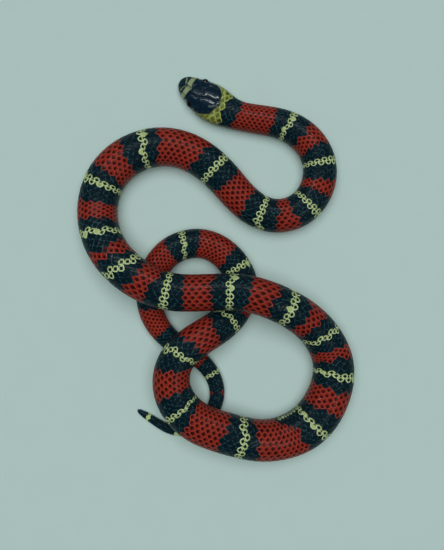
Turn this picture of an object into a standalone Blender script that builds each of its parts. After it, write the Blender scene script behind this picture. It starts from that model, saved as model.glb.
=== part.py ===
"""A life-size milk snake lying in three crossing loops, as a still museum model.

The animal follows one smooth route from the snout to the tail tip. A table of widths gives
its girth along that route, and a table of lifts says where it climbs over itself. The head
is a loft of its own sections, with raised plates, a mouth slot, nostrils and eye sockets.
Sizes are in millimetres here, and the finished meshes are in metres with +Z up.
"""

import math

import bmesh
import bpy
import numpy as np
from mathutils import Vector

MM = 0.001
GAP = 0.3
SHARP_ANGLE = 40.0

HEAD_BLACK = (0.010, 0.016, 0.018)
JAW_CREAM = (0.40, 0.42, 0.22)
RING_RED = (0.26, 0.035, 0.02)
EYE_BLACK = (0.004, 0.004, 0.005)
SHIELD_ROUGHNESS = 0.3
SCALE_ROUGHNESS = 0.4
EYE_ROUGHNESS = 0.05

# The middle of the animal seen from above, from just ahead of the snout to the tail tip.
# Every distance back is measured along it from its first point.
ROUTE = (
    (-14.5, 72.2), (-7.2, 66.7), (-0.4, 62.2), (5.7, 59.0), (16.5, 56.5), (27.7, 53.7),
    (35.5, 47.8), (39.5, 39.2), (38.4, 29.9), (31.7, 21.9), (21.2, 19.8), (11.8, 24.4),
    (3.6, 33.1), (-5.3, 41.1), (-17.5, 45.7), (-30.8, 43.5), (-40.6, 35.6), (-45.0, 23.3),
    (-41.9, 9.1), (-31.3, -2.8), (-17.6, -9.0), (-4.0, -9.5), (10.0, -9.6), (23.4, -13.7),
    (36.9, -22.6), (44.6, -36.5), (42.2, -50.4), (33.3, -61.4), (19.0, -65.5), (4.2, -62.5),
    (-9.1, -56.9), (-16.4, -45.7), (-14.9, -35.3), (-6.1, -26.9), (4.8, -19.2), (9.9, -7.2),
    (5.9, 2.2), (-5.0, 8.9), (-17.6, 5.8), (-24.9, -5.3), (-24.5, -17.8), (-16.7, -28.4),
    (-4.2, -37.6), (0.4, -48.6), (-4.6, -59.1), (-15.8, -62.9), (-25.2, -58.4), (-30.6, -55.1),
)

ROUTE_SAMPLES = 6000
REACH = 0.4

# Distance back from the snout, then the full width there.
GIRTH = (
    (29.5, 10.9), (41.0, 11.3), (59.0, 12.5), (94.0, 12.9), (124.0, 13.7), (155.0, 14.9),
    (190.0, 15.2), (216.0, 14.8), (239.0, 13.9), (269.0, 13.8), (288.0, 14.4), (304.0, 15.4),
    (319.0, 16.3), (334.0, 16.7), (346.0, 16.0), (369.0, 15.5), (388.0, 14.6), (400.0, 13.7),
    (422.0, 12.8), (441.0, 12.2), (460.0, 11.4), (479.0, 11.0), (498.0, 9.9), (514.0, 8.6),
    (533.0, 6.6), (547.0, 5.7), (561.0, 4.7), (574.0, 3.5), (580.0, 2.6), (584.0, 1.7),
    (586.5, 0.7),
)

# Distance back from the snout, then the height of the belly above the floor.
LIFT = (
    (182.0, 0.0), (221.0, 9.3), (231.0, 9.5), (249.0, 11.0), (262.0, 11.0), (302.0, 0.0),
    (336.0, 0.0), (365.0, 4.8), (382.0, 4.8), (405.0, 7.1), (409.0, 7.1), (434.0, 0.0),
)

# Where the neck, the lengths of the body and those of the tail end, back from the snout.
NECK_START = 29.5
NECK_END = 46.0
VENT = 498.0
TAIL_END = 586.6
BODY_ENDS = (71.0, 97.0, 131.0, 163.0, 195.0, 227.0, 259.0, 291.0, 323.0, 352.0,
             380.0, 405.0, 435.0, 467.0, VENT)
TAIL_ENDS = (("tail_base", 529.0), ("tail_middle", 557.0), ("tail_tip", TAIL_END))
STATION_STEP = 3.4
TIP_START = 582.0
TIP_PARTS = (0.0, 0.45, 0.8, 1.0)

# The cross-section of the body, in half widths: a flat belly and round flanks.
LEVEL = 0.76
CROWN = 1.72
BELLY_TUCK = 0.07
BACK_ROUNDNESS = 2.15
BELLY_ROUNDNESS = 2.7
BODY_SIDES = 24
HEAD_SIDES = 32

# The head: distance back, half width, underside, widest level, crown, back roundness.
HEAD = (
    (1.2, 0.95, 2.3, 3.0, 3.7, 2.2),
    (1.5, 1.8, 1.7, 2.9, 4.15, 2.3),
    (2.05, 2.55, 1.05, 2.7, 4.65, 2.4),
    (2.9, 3.3, 0.65, 2.6, 5.15, 2.5),
    (4.0, 3.97, 0.4, 2.6, 5.65, 2.6),
    (5.2, 4.55, 0.2, 2.7, 6.1, 2.6),
    (7.0, 5.15, 0.08, 2.9, 6.6, 2.6),
    (9.0, 5.75, 0.0, 3.1, 7.1, 2.6),
    (12.0, 6.6, 0.0, 3.4, 7.8, 2.6),
    (15.0, 7.1, 0.0, 3.6, 8.3, 2.55),
    (18.0, 7.05, 0.0, 3.8, 8.7, 2.5),
    (21.0, 6.6, 0.0, 3.95, 9.0, 2.4),
    (24.0, 6.0, 0.0, 4.1, 9.2, 2.3),
    (27.0, 5.6, 0.0, 4.14, 9.33, 2.2),
    (29.5, 5.45, 0.0, 4.14, 9.37, 2.15),
)
HEAD_STATIONS = (1.2, 1.5, 2.05, 2.7, 3.4, 4.2, 5.1, 6.1, 7.2, 8.3, 9.4, 10.8, 12.2, 13.6, 15.0,
                 16.5, 18.0, 19.5, 21.0, 22.5, 24.0, 25.6, 27.2, 28.6)

# The mouth slot: distance back, height, from in front of the snout to the jaw corner.
MOUTH = ((0.2, 1.95), (2.55, 1.95), (4.97, 1.75), (8.1, 1.85), (11.46, 2.35), (14.33, 3.0),
         (16.37, 3.15))
JAW_FOOT = (17.6, -1.0)
MOUTH_REACH = 9.0

# The shield at the front of the snout, as corners: offset to the left, height.
ROSTRAL = ((-1.55, 2.2), (1.55, 2.2), (1.35, 3.0), (0.5, 4.25), (-0.5, 4.25), (-1.35, 3.0))
SNOUT_START = 1.2
SNOUT_DEPTH = 5.2

# The shields of the crown, as corners: distance back, offset to the left.
FRONTAL = ((7.01, -1.0), (7.01, 1.0), (7.45, 1.9), (10.63, 1.45), (12.66, 0.0), (10.63, -1.45),
           (7.45, -1.9))
CROWN_SHIELDS = {
    "internasal": ((2.05, 0.15), (1.88, 0.7), (1.88, 1.5), (2.55, 2.25), (3.53, 2.4),
                   (3.91, 0.15)),
    "prefrontal": ((4.2, 0.15), (3.86, 2.5), (4.56, 3.25), (6.29, 3.6), (7.07, 2.1), (6.7, 1.1),
                   (6.65, 0.15)),
    "supraocular": ((7.77, 2.2), (6.9, 3.3), (7.45, 4.1), (9.18, 4.5), (10.98, 4.5), (11.58, 3.9),
                    (10.98, 1.75)),
    "parietal": ((13.1, 0.15), (11.4, 1.75), (12.06, 4.2), (13.72, 4.8), (15.75, 4.6),
                 (17.39, 3.3), (18.0, 1.5), (17.49, 0.15)),
}

# The shields of the cheek, as corners: distance back, height.
CHEEK_SHIELDS = {
    "nasal": ((2.42, 3.2), (2.5, 4.2), (4.05, 4.5), (4.15, 3.2)),
    "loreal": ((4.46, 3.15), (4.35, 4.5), (6.39, 4.8), (6.54, 3.1)),
    "preocular": ((6.85, 3.1), (6.7, 4.9), (7.66, 5.2), (7.66, 3.1)),
    "postocular": ((11.34, 3.5), (11.22, 5.4), (12.54, 5.7), (12.66, 3.9)),
    "front_temporal": ((13.05, 4.1), (12.95, 5.9), (15.35, 6.2), (15.45, 4.5)),
    "rear_temporal": ((15.86, 4.75), (15.75, 6.2), (18.1, 6.4), (18.17, 4.8)),
}

# The lip shields: distances back of the joints between them, and heights off the mouth.
LIP_JOINTS = (2.19, 3.67, 5.37, 7.34, 9.62, 12.06, 14.23, 15.96)
UPPER_LIP = (1.0, 1.0, 1.0, 0.9, 1.1, 1.25, 1.25)
LOWER_LIP = (-0.7, -0.8, -0.9, -1.0, -1.0, -1.0, -1.0)
LIP_CLEARANCE = 0.3
DEEPEST = 0.97
SUTURE = 0.3
SHIELD_RAISE = 0.2
SHIELD_ROOT = 0.5
SHIELD_EDGE = 1.2
SHIELD_RINGS = (0.94, 0.5)
PROBE = 0.05
HALVINGS = 24

EYE_BACK = 9.4
EYE_SIDE = 4.93
EYE_HEIGHT = 4.42
EYE_RADIUS = 1.45
EYE_FACETS = (24, 14)
NOSTRIL_FACETS = (10, 6)
NOSTRIL_BACK = 2.78
NOSTRIL_SIDE = 2.8
NOSTRIL_HEIGHT = 3.75
NOSTRIL_RADIUS = 0.36


def natural_spline(knots, values, wanted):
    """Smooth curve through values at knots, read at the wanted places."""
    knots = np.asarray(knots, float)
    values = np.asarray(values, float)
    count = len(knots)
    step = np.diff(knots)
    slope = np.diff(values, axis=0) / step[:, None]
    matrix = np.eye(count)
    bend = np.zeros_like(values)
    for i in range(1, count - 1):
        matrix[i, i - 1:i + 2] = (step[i - 1], 2.0 * (step[i - 1] + step[i]), step[i])
        bend[i] = 6.0 * (slope[i] - slope[i - 1])
    bend = np.linalg.solve(matrix, bend)
    i = np.clip(np.searchsorted(knots, wanted, side="right") - 1, 0, count - 2)
    h = step[i][:, None]
    a = (knots[i + 1] - wanted)[:, None] / h
    b = 1.0 - a
    curve = a * values[i] + b * values[i + 1]
    return curve + ((a ** 3 - a) * bend[i] + (b ** 3 - b) * bend[i + 1]) * h * h / 6.0


class Route:
    """The middle of the belly, read by distance back from the snout."""

    def __init__(self):
        points = np.array(ROUTE)
        knots = np.append(0.0, np.cumsum(np.linalg.norm(np.diff(points, axis=0), axis=1)))
        fine = np.linspace(0.0, knots[-1], ROUTE_SAMPLES)
        plan = natural_spline(knots, points, fine)
        steps = np.linalg.norm(np.diff(plan, axis=0), axis=1)
        self.plan = plan
        self.distance = np.append(0.0, np.cumsum(steps))

    def point(self, back):
        """A point of the route, with the belly's lift as its height."""
        inside = min(max(back, 0.0), self.distance[-1])
        x = np.interp(inside, self.distance, self.plan[:, 0])
        y = np.interp(inside, self.distance, self.plan[:, 1])
        return Vector((x, y, ease(LIFT, back)))

    def frame(self, back, shift=0.0):
        """A point of the belly, the way to the left and the way up, shifted straight back."""
        ahead = (self.point(back + REACH) - self.point(back - REACH)).normalized()
        across = Vector((ahead.y, -ahead.x, 0.0)).normalized()
        return self.point(back) + ahead * shift, across, across.cross(ahead)


def ease(table, back):
    """A value that rests at each row of the table and turns smoothly between rows."""
    places = [row[0] for row in table]
    values = [row[1] for row in table]
    back = min(max(back, places[0]), places[-1])
    i = min(max(int(np.searchsorted(places, back)) - 1, 0), len(places) - 2)
    part = (back - places[i]) / (places[i + 1] - places[i])
    return values[i] + (values[i + 1] - values[i]) * part * part * (3.0 - 2.0 * part)


def smooth(table, back):
    """Every column of a table, read on smooth curves through its rows."""
    rows = np.array(table, float)
    return natural_spline(rows[:, 0], rows[:, 1:], np.array([back]))[0]


def section(half_width, bottom, level, crown, back_round, sides):
    """Points round a cross-section, as side and height, from the left flank over the back."""
    points = []
    deep = level - bottom + BELLY_TUCK * half_width
    for i in range(sides):
        angle = 2.0 * math.pi * i / sides
        over = math.sin(angle) >= 0.0
        power = 2.0 / (back_round if over else BELLY_ROUNDNESS)
        side = half_width * math.copysign(abs(math.cos(angle)) ** power, math.cos(angle))
        rise = abs(math.sin(angle)) ** power
        height = level + (crown - level) * rise if over else level - deep * rise
        points.append((side, max(height, bottom)))
    return points


def collection(name):
    group = bpy.data.collections.new(name)
    bpy.context.scene.collection.children.link(group)
    return group


def material(name, colour, roughness):
    shade = bpy.data.materials.new(name)
    shade.use_nodes = True
    principled = shade.node_tree.nodes["Principled BSDF"]
    principled.inputs["Base Color"].default_value = (*colour, 1.0)
    principled.inputs["Roughness"].default_value = roughness
    principled.inputs["Metallic"].default_value = 0.0
    return shade


def finish_mesh(mesh, name, group, shade):
    """Link a mesh as a smooth-shaded object with its own material."""
    mesh.shade_smooth()
    mesh.set_sharp_from_angle(angle=math.radians(SHARP_ANGLE))
    mesh.materials.clear()
    mesh.materials.append(shade)
    made = bpy.data.objects.new(name, mesh)
    group.objects.link(made)
    return made


def cutter(name, mesh, group):
    """Link a mesh as a tool for a Boolean, which is no piece of the animal."""
    made = bpy.data.objects.new(name, mesh)
    made.hide_render = True
    made.display_type = "WIRE"
    group.objects.link(made)
    return made


def loft(name, rings):
    """A closed mesh through rings of points, with a flat face at each end."""
    work = bmesh.new()
    made = [[work.verts.new(point * MM) for point in ring] for ring in rings]
    for front, rear in zip(made, made[1:]):
        for i, corner in enumerate(front):
            j = (i + 1) % len(front)
            work.faces.new((corner, front[j], rear[j], rear[i]))
    work.faces.new(made[0])
    work.faces.new(list(reversed(made[-1])))
    bmesh.ops.recalc_face_normals(work, faces=work.faces)
    mesh = bpy.data.meshes.new(name)
    work.to_mesh(mesh)
    work.free()
    return mesh


def body_ring(back, route, shift=0.0):
    """The cross-section of the body there, square to the route: a flat belly, round flanks."""
    half = smooth(GIRTH, back)[0] / 2.0
    points = section(half, 0.0, LEVEL * half, CROWN * half, BACK_ROUNDNESS, BODY_SIDES)
    foot, across, up = route.frame(back, shift)
    return [foot + across * side + up * height for side, height in points]


def head_ring(back, route, shift=0.0):
    """The cross-section of the head there."""
    half, bottom, level, crown, back_round = smooth(HEAD, back)
    points = section(half, max(bottom, 0.0), level, crown, back_round, HEAD_SIDES)
    foot, across, up = route.frame(back, shift)
    return [foot + across * side + up * height for side, height in points]


def body_length(name, start, end, route, group, shade):
    """One length of the animal, whose flat ends stand half a gap inside its two cuts."""
    last = min(end, TIP_START)
    steps = round((last - start) / STATION_STEP)
    rings = [body_ring(start, route, GAP / 2.0)]
    rings += [body_ring(back, route) for back in np.linspace(start, last, steps + 1)[1:-1]]
    if end > TIP_START:
        rings += [body_ring(last + (end - last) * part, route) for part in TIP_PARTS]
    else:
        rings.append(body_ring(end, route, -GAP / 2.0))
    finish_mesh(loft(name, rings), name, group, shade)


def head_point(back, side, height, route):
    """A place in the head, from its distance back, its side offset and its height."""
    foot, across, up = route.frame(back)
    return foot + across * side + up * height


def loft_head(route, group, shade):
    """The whole head with its throat, before it is cut."""
    rings = [head_ring(back, route) for back in HEAD_STATIONS]
    rings.append(head_ring(NECK_START, route, -GAP / 2.0))
    return finish_mesh(loft("head", rings), "head", group, shade)


def crown_surface(back, side, route):
    """A point of the head's upper surface, by its distance back and its offset."""
    half, _, level, crown, back_round = smooth(HEAD, back)
    reach = min(abs(side) / half, 1.0)
    rise = (1.0 - reach ** back_round) ** (1.0 / back_round)
    return head_point(back, side, level + (crown - level) * rise, route)


def flank_surface(back, height, route, sign):
    """A point of the head's flank, by its distance back and its height."""
    half, bottom, level, crown, back_round = smooth(HEAD, back)
    if height >= level:
        rise = (height - level) / (crown - level)
        side = half * (1.0 - rise ** back_round) ** (1.0 / back_round)
    else:
        fall = min((level - height) / (level - bottom + BELLY_TUCK * half), DEEPEST)
        side = half * (1.0 - fall ** BELLY_ROUNDNESS) ** (1.0 / BELLY_ROUNDNESS)
    return head_point(back, side * sign, height, route)


def snout_surface(side, height, route):
    """A point of the snout's blunt front, by its offset and its height."""
    near = SNOUT_START
    far = SNOUT_DEPTH
    for _ in range(HALVINGS):
        back = (near + far) / 2.0
        half, bottom, level, crown, back_round = smooth(HEAD, back)
        if height >= level:
            rise = (height - level) / (crown - level)
            spread = (abs(side) / half) ** back_round + rise ** back_round
        else:
            fall = (level - height) / (level - bottom + BELLY_TUCK * half)
            spread = (abs(side) / half) ** BELLY_ROUNDNESS + fall ** BELLY_ROUNDNESS
        near, far = (near, back) if spread < 1.0 else (back, far)
    return head_point(far, side, height, route)


def outline_points(corners):
    """The corners of a shield with more points put along its long edges."""
    points = []
    for corner, following in zip(corners, (*corners[1:], corners[0])):
        length = math.dist(corner, following)
        parts = max(1, round(length / SHIELD_EDGE))
        points += [tuple(np.array(corner) + (np.array(following) - corner) * i / parts)
                   for i in range(parts)]
    return points


def shield(name, corners, surface, inner, group):
    """A shield that stands off a surface of the head, with its root sunk in it."""
    outline = outline_points(corners)
    middle = np.mean(outline, axis=0)

    def placed(spot, off):
        here = surface(*spot)
        ahead = surface(spot[0] + PROBE, spot[1]) - here
        beside = surface(spot[0], spot[1] + PROBE) - here
        outward = ahead.cross(beside).normalized()
        if outward.dot(here - inner) < 0.0:
            outward.negate()
        return (here + outward * off) * MM

    work = bmesh.new()
    rings = [[work.verts.new(placed(spot, -SHIELD_ROOT)) for spot in outline]]
    for scale in SHIELD_RINGS:
        spots = [middle + (np.array(spot) - middle) * scale for spot in outline]
        rings.append([work.verts.new(placed(spot, SHIELD_RAISE)) for spot in spots])
    root = work.verts.new(placed(middle, -SHIELD_ROOT))
    peak = work.verts.new(placed(middle, SHIELD_RAISE))
    for i in range(len(outline)):
        j = (i + 1) % len(outline)
        for low, high in zip(rings, rings[1:]):
            work.faces.new((low[i], low[j], high[j], high[i]))
        work.faces.new((rings[0][j], rings[0][i], root))
        work.faces.new((rings[-1][i], rings[-1][j], peak))
    bmesh.ops.recalc_face_normals(work, faces=work.faces)
    mesh = bpy.data.meshes.new(name)
    work.to_mesh(mesh)
    work.free()
    cutter(name, mesh, group)


def mouth_height(back):
    """The height of the mouth line there."""
    return float(np.interp(back, [row[0] for row in MOUTH], [row[1] for row in MOUTH]))


def crown_shields(route, inner, group):
    def crown(back, side):
        return crown_surface(back, side, route)

    def snout(side, height):
        return snout_surface(side, height, route)

    shield("rostral", ROSTRAL, snout, inner, group)
    shield("frontal", FRONTAL, crown, inner, group)
    for name, corners in CROWN_SHIELDS.items():
        shield(name + "_left", corners, crown, inner, group)
        mirrored = [(back, -side) for back, side in corners]
        shield(name + "_right", mirrored, crown, inner, group)


def lip_corners(index, far):
    """One lip shield's corners, from its edge at the mouth to its far edge."""
    start = LIP_JOINTS[index] + SUTURE / 2.0
    end = LIP_JOINTS[index + 1] - SUTURE / 2.0
    near = math.copysign(LIP_CLEARANCE, far)
    return ((start, mouth_height(start) + near), (end, mouth_height(end) + near),
            (end, mouth_height(end) + far), (start, mouth_height(start) + far))


def flank_shields(route, inner, group):
    """The shields of both cheeks and of the upper and lower lips."""
    outlines = dict(CHEEK_SHIELDS)
    for i, (upper, lower) in enumerate(zip(UPPER_LIP, LOWER_LIP)):
        outlines[f"upper_lip_{i + 1}"] = lip_corners(i, upper)
        outlines[f"lower_lip_{i + 1}"] = lip_corners(i, lower)
    for side, sign in (("left", 1.0), ("right", -1.0)):
        def flank(back, height, sign=sign):
            return flank_surface(back, height, route, sign)

        for name, corners in outlines.items():
            shield(name + "_" + side, corners, flank, inner, group)


def join_shields(head, route):
    """Fuse every shield with the head in one union."""
    shields = collection("shields")
    inner = head_point(EYE_BACK, 0.0, EYE_HEIGHT, route)
    crown_shields(route, inner, shields)
    flank_shields(route, inner, shields)
    boolean(head, shields, "UNION")
    for made in list(shields.objects):
        bpy.data.objects.remove(made)
    bpy.data.collections.remove(shields)
    keep_island(head.data, islands(head.data)[0])


def mouth_cutter(route, group):
    """A thin bent wall along the mouth line and down behind the jaw."""
    line = [Vector(spot) for spot in (*MOUTH, JAW_FOOT)]
    upper = []
    lower = []
    for i, spot in enumerate(line):
        arriving = (spot - line[i - 1]).normalized() if i else (line[1] - spot).normalized()
        leaving = (line[i + 1] - spot).normalized() if i + 1 < len(line) else arriving
        along = (arriving + leaving).normalized()
        across = Vector((-along.y, along.x)) * GAP / 2.0 / along.dot(leaving)
        upper.append(spot + across)
        lower.append(spot - across)
    profile = upper + list(reversed(lower))
    foot, across, up = route.frame(EYE_BACK)
    ahead = up.cross(across)
    work = bmesh.new()
    verts = [work.verts.new((foot + ahead * (back - EYE_BACK) + across * MOUTH_REACH
                             + up * height) * MM) for back, height in profile]
    face = work.faces.new(verts)
    swept = bmesh.ops.extrude_face_region(work, geom=[face])
    moved = [item for item in swept["geom"] if isinstance(item, bmesh.types.BMVert)]
    bmesh.ops.translate(work, verts=moved, vec=across * (-2.0 * MOUTH_REACH * MM))
    bmesh.ops.recalc_face_normals(work, faces=work.faces)
    mesh = bpy.data.meshes.new("mouth_slot")
    work.to_mesh(mesh)
    work.free()
    return cutter("mouth_slot", mesh, group)


def ball(name, centre, radius, facets):
    """A sphere mesh round a centre, with its facets round and from pole to pole."""
    work = bmesh.new()
    around, along = facets
    bmesh.ops.create_uvsphere(work, u_segments=around, v_segments=along, radius=radius * MM)
    bmesh.ops.translate(work, verts=work.verts, vec=centre * MM)
    mesh = bpy.data.meshes.new(name)
    work.to_mesh(mesh)
    work.free()
    return mesh


def boolean(target, tool, operation):
    """Apply one exact Boolean with an object or a collection and keep its result."""
    change = target.modifiers.new(operation.lower(), "BOOLEAN")
    change.operation = operation
    change.solver = "EXACT"
    if isinstance(tool, bpy.types.Collection):
        change.operand_type = "COLLECTION"
        change.collection = tool
    else:
        change.object = tool
    bpy.context.view_layer.update()
    evaluated = target.evaluated_get(bpy.context.evaluated_depsgraph_get())
    mesh = bpy.data.meshes.new_from_object(evaluated)
    target.modifiers.remove(change)
    old = target.data
    target.data = mesh
    bpy.data.meshes.remove(old)


def islands(mesh):
    """The separate closed surfaces of a mesh, as sets of vertex numbers, largest first."""
    joined = {}
    for edge in mesh.edges:
        a, b = edge.vertices
        joined.setdefault(a, []).append(b)
        joined.setdefault(b, []).append(a)
    left = set(joined)
    found = []
    while left:
        front = [left.pop()]
        island = set(front)
        while front:
            for other in joined[front.pop()]:
                if other in left:
                    left.remove(other)
                    island.add(other)
                    front.append(other)
        found.append(island)
    return sorted(found, key=len, reverse=True)


def keep_island(mesh, island):
    """Delete everything in a mesh but one closed surface."""
    work = bmesh.new()
    work.from_mesh(mesh)
    work.verts.ensure_lookup_table()
    loose = [vert for vert in work.verts if vert.index not in island]
    bmesh.ops.delete(work, geom=loose, context="VERTS")
    work.to_mesh(mesh)
    work.free()


def part_jaw(head, group, shade):
    """Split the slotted head into the upper head and the lower jaw, each one closed surface."""
    upper, lower = islands(head.data)[:2]
    jaw_mesh = head.data.copy()
    keep_island(head.data, upper)
    keep_island(jaw_mesh, lower)
    finish_mesh(jaw_mesh, "lower_jaw", group, shade)


def build_side(head, side, sign, route, parts, cutters):
    """Cut the nostril and the socket of one side of the head, and set its eye."""
    eye_centre = head_point(EYE_BACK, sign * EYE_SIDE, EYE_HEIGHT, route)
    nostril_centre = head_point(NOSTRIL_BACK, sign * NOSTRIL_SIDE, NOSTRIL_HEIGHT, route)
    socket = ball("socket_" + side, eye_centre, EYE_RADIUS + GAP, EYE_FACETS)
    nostril = ball("nostril_" + side, nostril_centre, NOSTRIL_RADIUS, NOSTRIL_FACETS)
    boolean(head, cutter("socket_" + side, socket, cutters), "DIFFERENCE")
    boolean(head, cutter("nostril_" + side, nostril, cutters), "DIFFERENCE")
    shade = material("eye_" + side, EYE_BLACK, EYE_ROUGHNESS)
    eye = ball("eye_" + side, eye_centre, EYE_RADIUS, EYE_FACETS)
    finish_mesh(eye, "eye_" + side, parts, shade)


def build_head(route, parts, cutters):
    head = loft_head(route, parts, material("head", HEAD_BLACK, SHIELD_ROUGHNESS))
    join_shields(head, route)
    build_side(head, "left", 1.0, route, parts, cutters)
    build_side(head, "right", -1.0, route, parts, cutters)
    boolean(head, mouth_cutter(route, cutters), "DIFFERENCE")
    part_jaw(head, parts, material("lower_jaw", JAW_CREAM, SHIELD_ROUGHNESS))


def build_lengths(route, parts):
    lengths = [("neck", NECK_END)]
    lengths += [(f"body_{i + 1:02d}", end) for i, end in enumerate(BODY_ENDS)]
    lengths += list(TAIL_ENDS)
    start = NECK_START
    for name, end in lengths:
        shade = material(name, RING_RED, SCALE_ROUGHNESS)
        body_length(name, start, end, route, parts, shade)
        start = end


def main():
    for old in list(bpy.data.objects):
        bpy.data.objects.remove(old)
    parts = collection("milk_snake")
    cutters = collection("cutters")
    route = Route()
    build_head(route, parts, cutters)
    build_lengths(route, parts)


main()
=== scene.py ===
"""The looks of a life-size milk snake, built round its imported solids.

One fine skin follows the route and the tables of sizes that the solids follow. On the head it
is raised into shields with sutures between them. Over the body lie rows of overlapping scales,
and wide plates under the belly. Sizes in the tables are millimetres, and meshes are in metres.
"""

import math
from collections import namedtuple

import bpy
import numpy as np
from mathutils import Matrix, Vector
from mathutils.kdtree import KDTree

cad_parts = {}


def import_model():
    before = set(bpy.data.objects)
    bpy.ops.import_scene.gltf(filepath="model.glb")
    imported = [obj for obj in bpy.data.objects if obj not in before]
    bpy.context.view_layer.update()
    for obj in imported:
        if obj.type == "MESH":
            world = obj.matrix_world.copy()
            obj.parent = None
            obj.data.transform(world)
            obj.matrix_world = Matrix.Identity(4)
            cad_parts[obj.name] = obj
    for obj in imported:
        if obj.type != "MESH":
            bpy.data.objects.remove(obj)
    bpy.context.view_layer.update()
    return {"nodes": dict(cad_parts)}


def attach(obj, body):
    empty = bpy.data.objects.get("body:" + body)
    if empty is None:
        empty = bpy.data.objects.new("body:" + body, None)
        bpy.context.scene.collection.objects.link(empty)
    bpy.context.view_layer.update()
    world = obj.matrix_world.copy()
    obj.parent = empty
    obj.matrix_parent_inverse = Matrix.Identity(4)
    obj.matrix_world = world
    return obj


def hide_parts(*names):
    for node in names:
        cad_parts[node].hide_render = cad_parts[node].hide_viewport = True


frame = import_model()

bl_info = {
    "name": "Milk Snake Looks",
    "version": (1, 0, 0),
    "blender": (4, 5, 0),
    "location": "View3D > Sidebar > Snake",
    "description": "Skin, scales, belly plates, eyes and stage for a life-size milk snake",
    "category": "Object",
}

MM = 0.001
BODY = "root"

# The middle of the animal seen from above, from just ahead of the snout to the tail tip.
# Every distance back is measured along it from its first point.
ROUTE = (
    (-14.5, 72.2), (-7.2, 66.7), (-0.4, 62.2), (5.7, 59.0), (16.5, 56.5), (27.7, 53.7),
    (35.5, 47.8), (39.5, 39.2), (38.4, 29.9), (31.7, 21.9), (21.2, 19.8), (11.8, 24.4),
    (3.6, 33.1), (-5.3, 41.1), (-17.5, 45.7), (-30.8, 43.5), (-40.6, 35.6), (-45.0, 23.3),
    (-41.9, 9.1), (-31.3, -2.8), (-17.6, -9.0), (-4.0, -9.5), (10.0, -9.6), (23.4, -13.7),
    (36.9, -22.6), (44.6, -36.5), (42.2, -50.4), (33.3, -61.4), (19.0, -65.5), (4.2, -62.5),
    (-9.1, -56.9), (-16.4, -45.7), (-14.9, -35.3), (-6.1, -26.9), (4.8, -19.2), (9.9, -7.2),
    (5.9, 2.2), (-5.0, 8.9), (-17.6, 5.8), (-24.9, -5.3), (-24.5, -17.8), (-16.7, -28.4),
    (-4.2, -37.6), (0.4, -48.6), (-4.6, -59.1), (-15.8, -62.9), (-25.2, -58.4), (-30.6, -55.1),
)
ROUTE_SAMPLES = 6000
REACH = 0.4

# Distance back from the snout, then the full width there.
GIRTH = (
    (29.5, 10.9), (41.0, 11.3), (59.0, 12.5), (94.0, 12.9), (124.0, 13.7), (155.0, 14.9),
    (190.0, 15.2), (216.0, 14.8), (239.0, 13.9), (269.0, 13.8), (288.0, 14.4), (304.0, 15.4),
    (319.0, 16.3), (334.0, 16.7), (346.0, 16.0), (369.0, 15.5), (388.0, 14.6), (400.0, 13.7),
    (422.0, 12.8), (441.0, 12.2), (460.0, 11.4), (479.0, 11.0), (498.0, 9.9), (514.0, 8.6),
    (533.0, 6.6), (547.0, 5.7), (561.0, 4.7), (574.0, 3.6), (579.5, 3.1), (583.0, 2.6),
    (585.0, 2.0), (586.1, 1.2), (586.5, 0.5),
)

# Distance back from the snout, then the height of the belly above the floor.
LIFT = (
    (182.0, 0.0), (221.0, 9.3), (231.0, 9.5), (249.0, 11.0), (262.0, 11.0), (302.0, 0.0),
    (336.0, 0.0), (365.0, 4.8), (382.0, 4.8), (405.0, 7.1), (409.0, 7.1), (434.0, 0.0),
)

# The head: distance back, half width, underside, widest level, crown, back roundness.
HEAD = (
    (1.2, 0.95, 2.3, 3.0, 3.7, 2.2),
    (1.5, 1.8, 1.7, 2.9, 4.15, 2.3),
    (2.05, 2.55, 1.05, 2.7, 4.65, 2.4),
    (2.9, 3.3, 0.65, 2.6, 5.15, 2.5),
    (4.0, 3.97, 0.4, 2.6, 5.65, 2.6),
    (5.2, 4.55, 0.2, 2.7, 6.1, 2.6),
    (7.0, 5.15, 0.08, 2.9, 6.6, 2.6),
    (9.0, 5.75, 0.0, 3.1, 7.1, 2.6),
    (12.0, 6.6, 0.0, 3.4, 7.8, 2.6),
    (15.0, 7.1, 0.0, 3.6, 8.3, 2.55),
    (18.0, 7.05, 0.0, 3.8, 8.7, 2.5),
    (21.0, 6.6, 0.0, 3.95, 9.0, 2.4),
    (24.0, 6.0, 0.0, 4.1, 9.2, 2.3),
    (27.0, 5.6, 0.0, 4.14, 9.33, 2.2),
    (29.5, 5.45, 0.0, 4.14, 9.37, 2.15),
)
SNOUT_START = 1.2
NECK_START = 29.5
VENT = 498.0
TAIL_END = 586.4
LEVEL = 0.76
CROWN = 1.72
BELLY_TUCK = 0.07
BACK_ROUNDNESS = 2.15
BELLY_ROUNDNESS = 2.7

# Samples of the surface: along the head, along the body, round the section.
HEAD_STEP = 0.1
BODY_STEP = 0.5
ROUND_SAMPLES = 721
TURN_SAMPLES = 361

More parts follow.
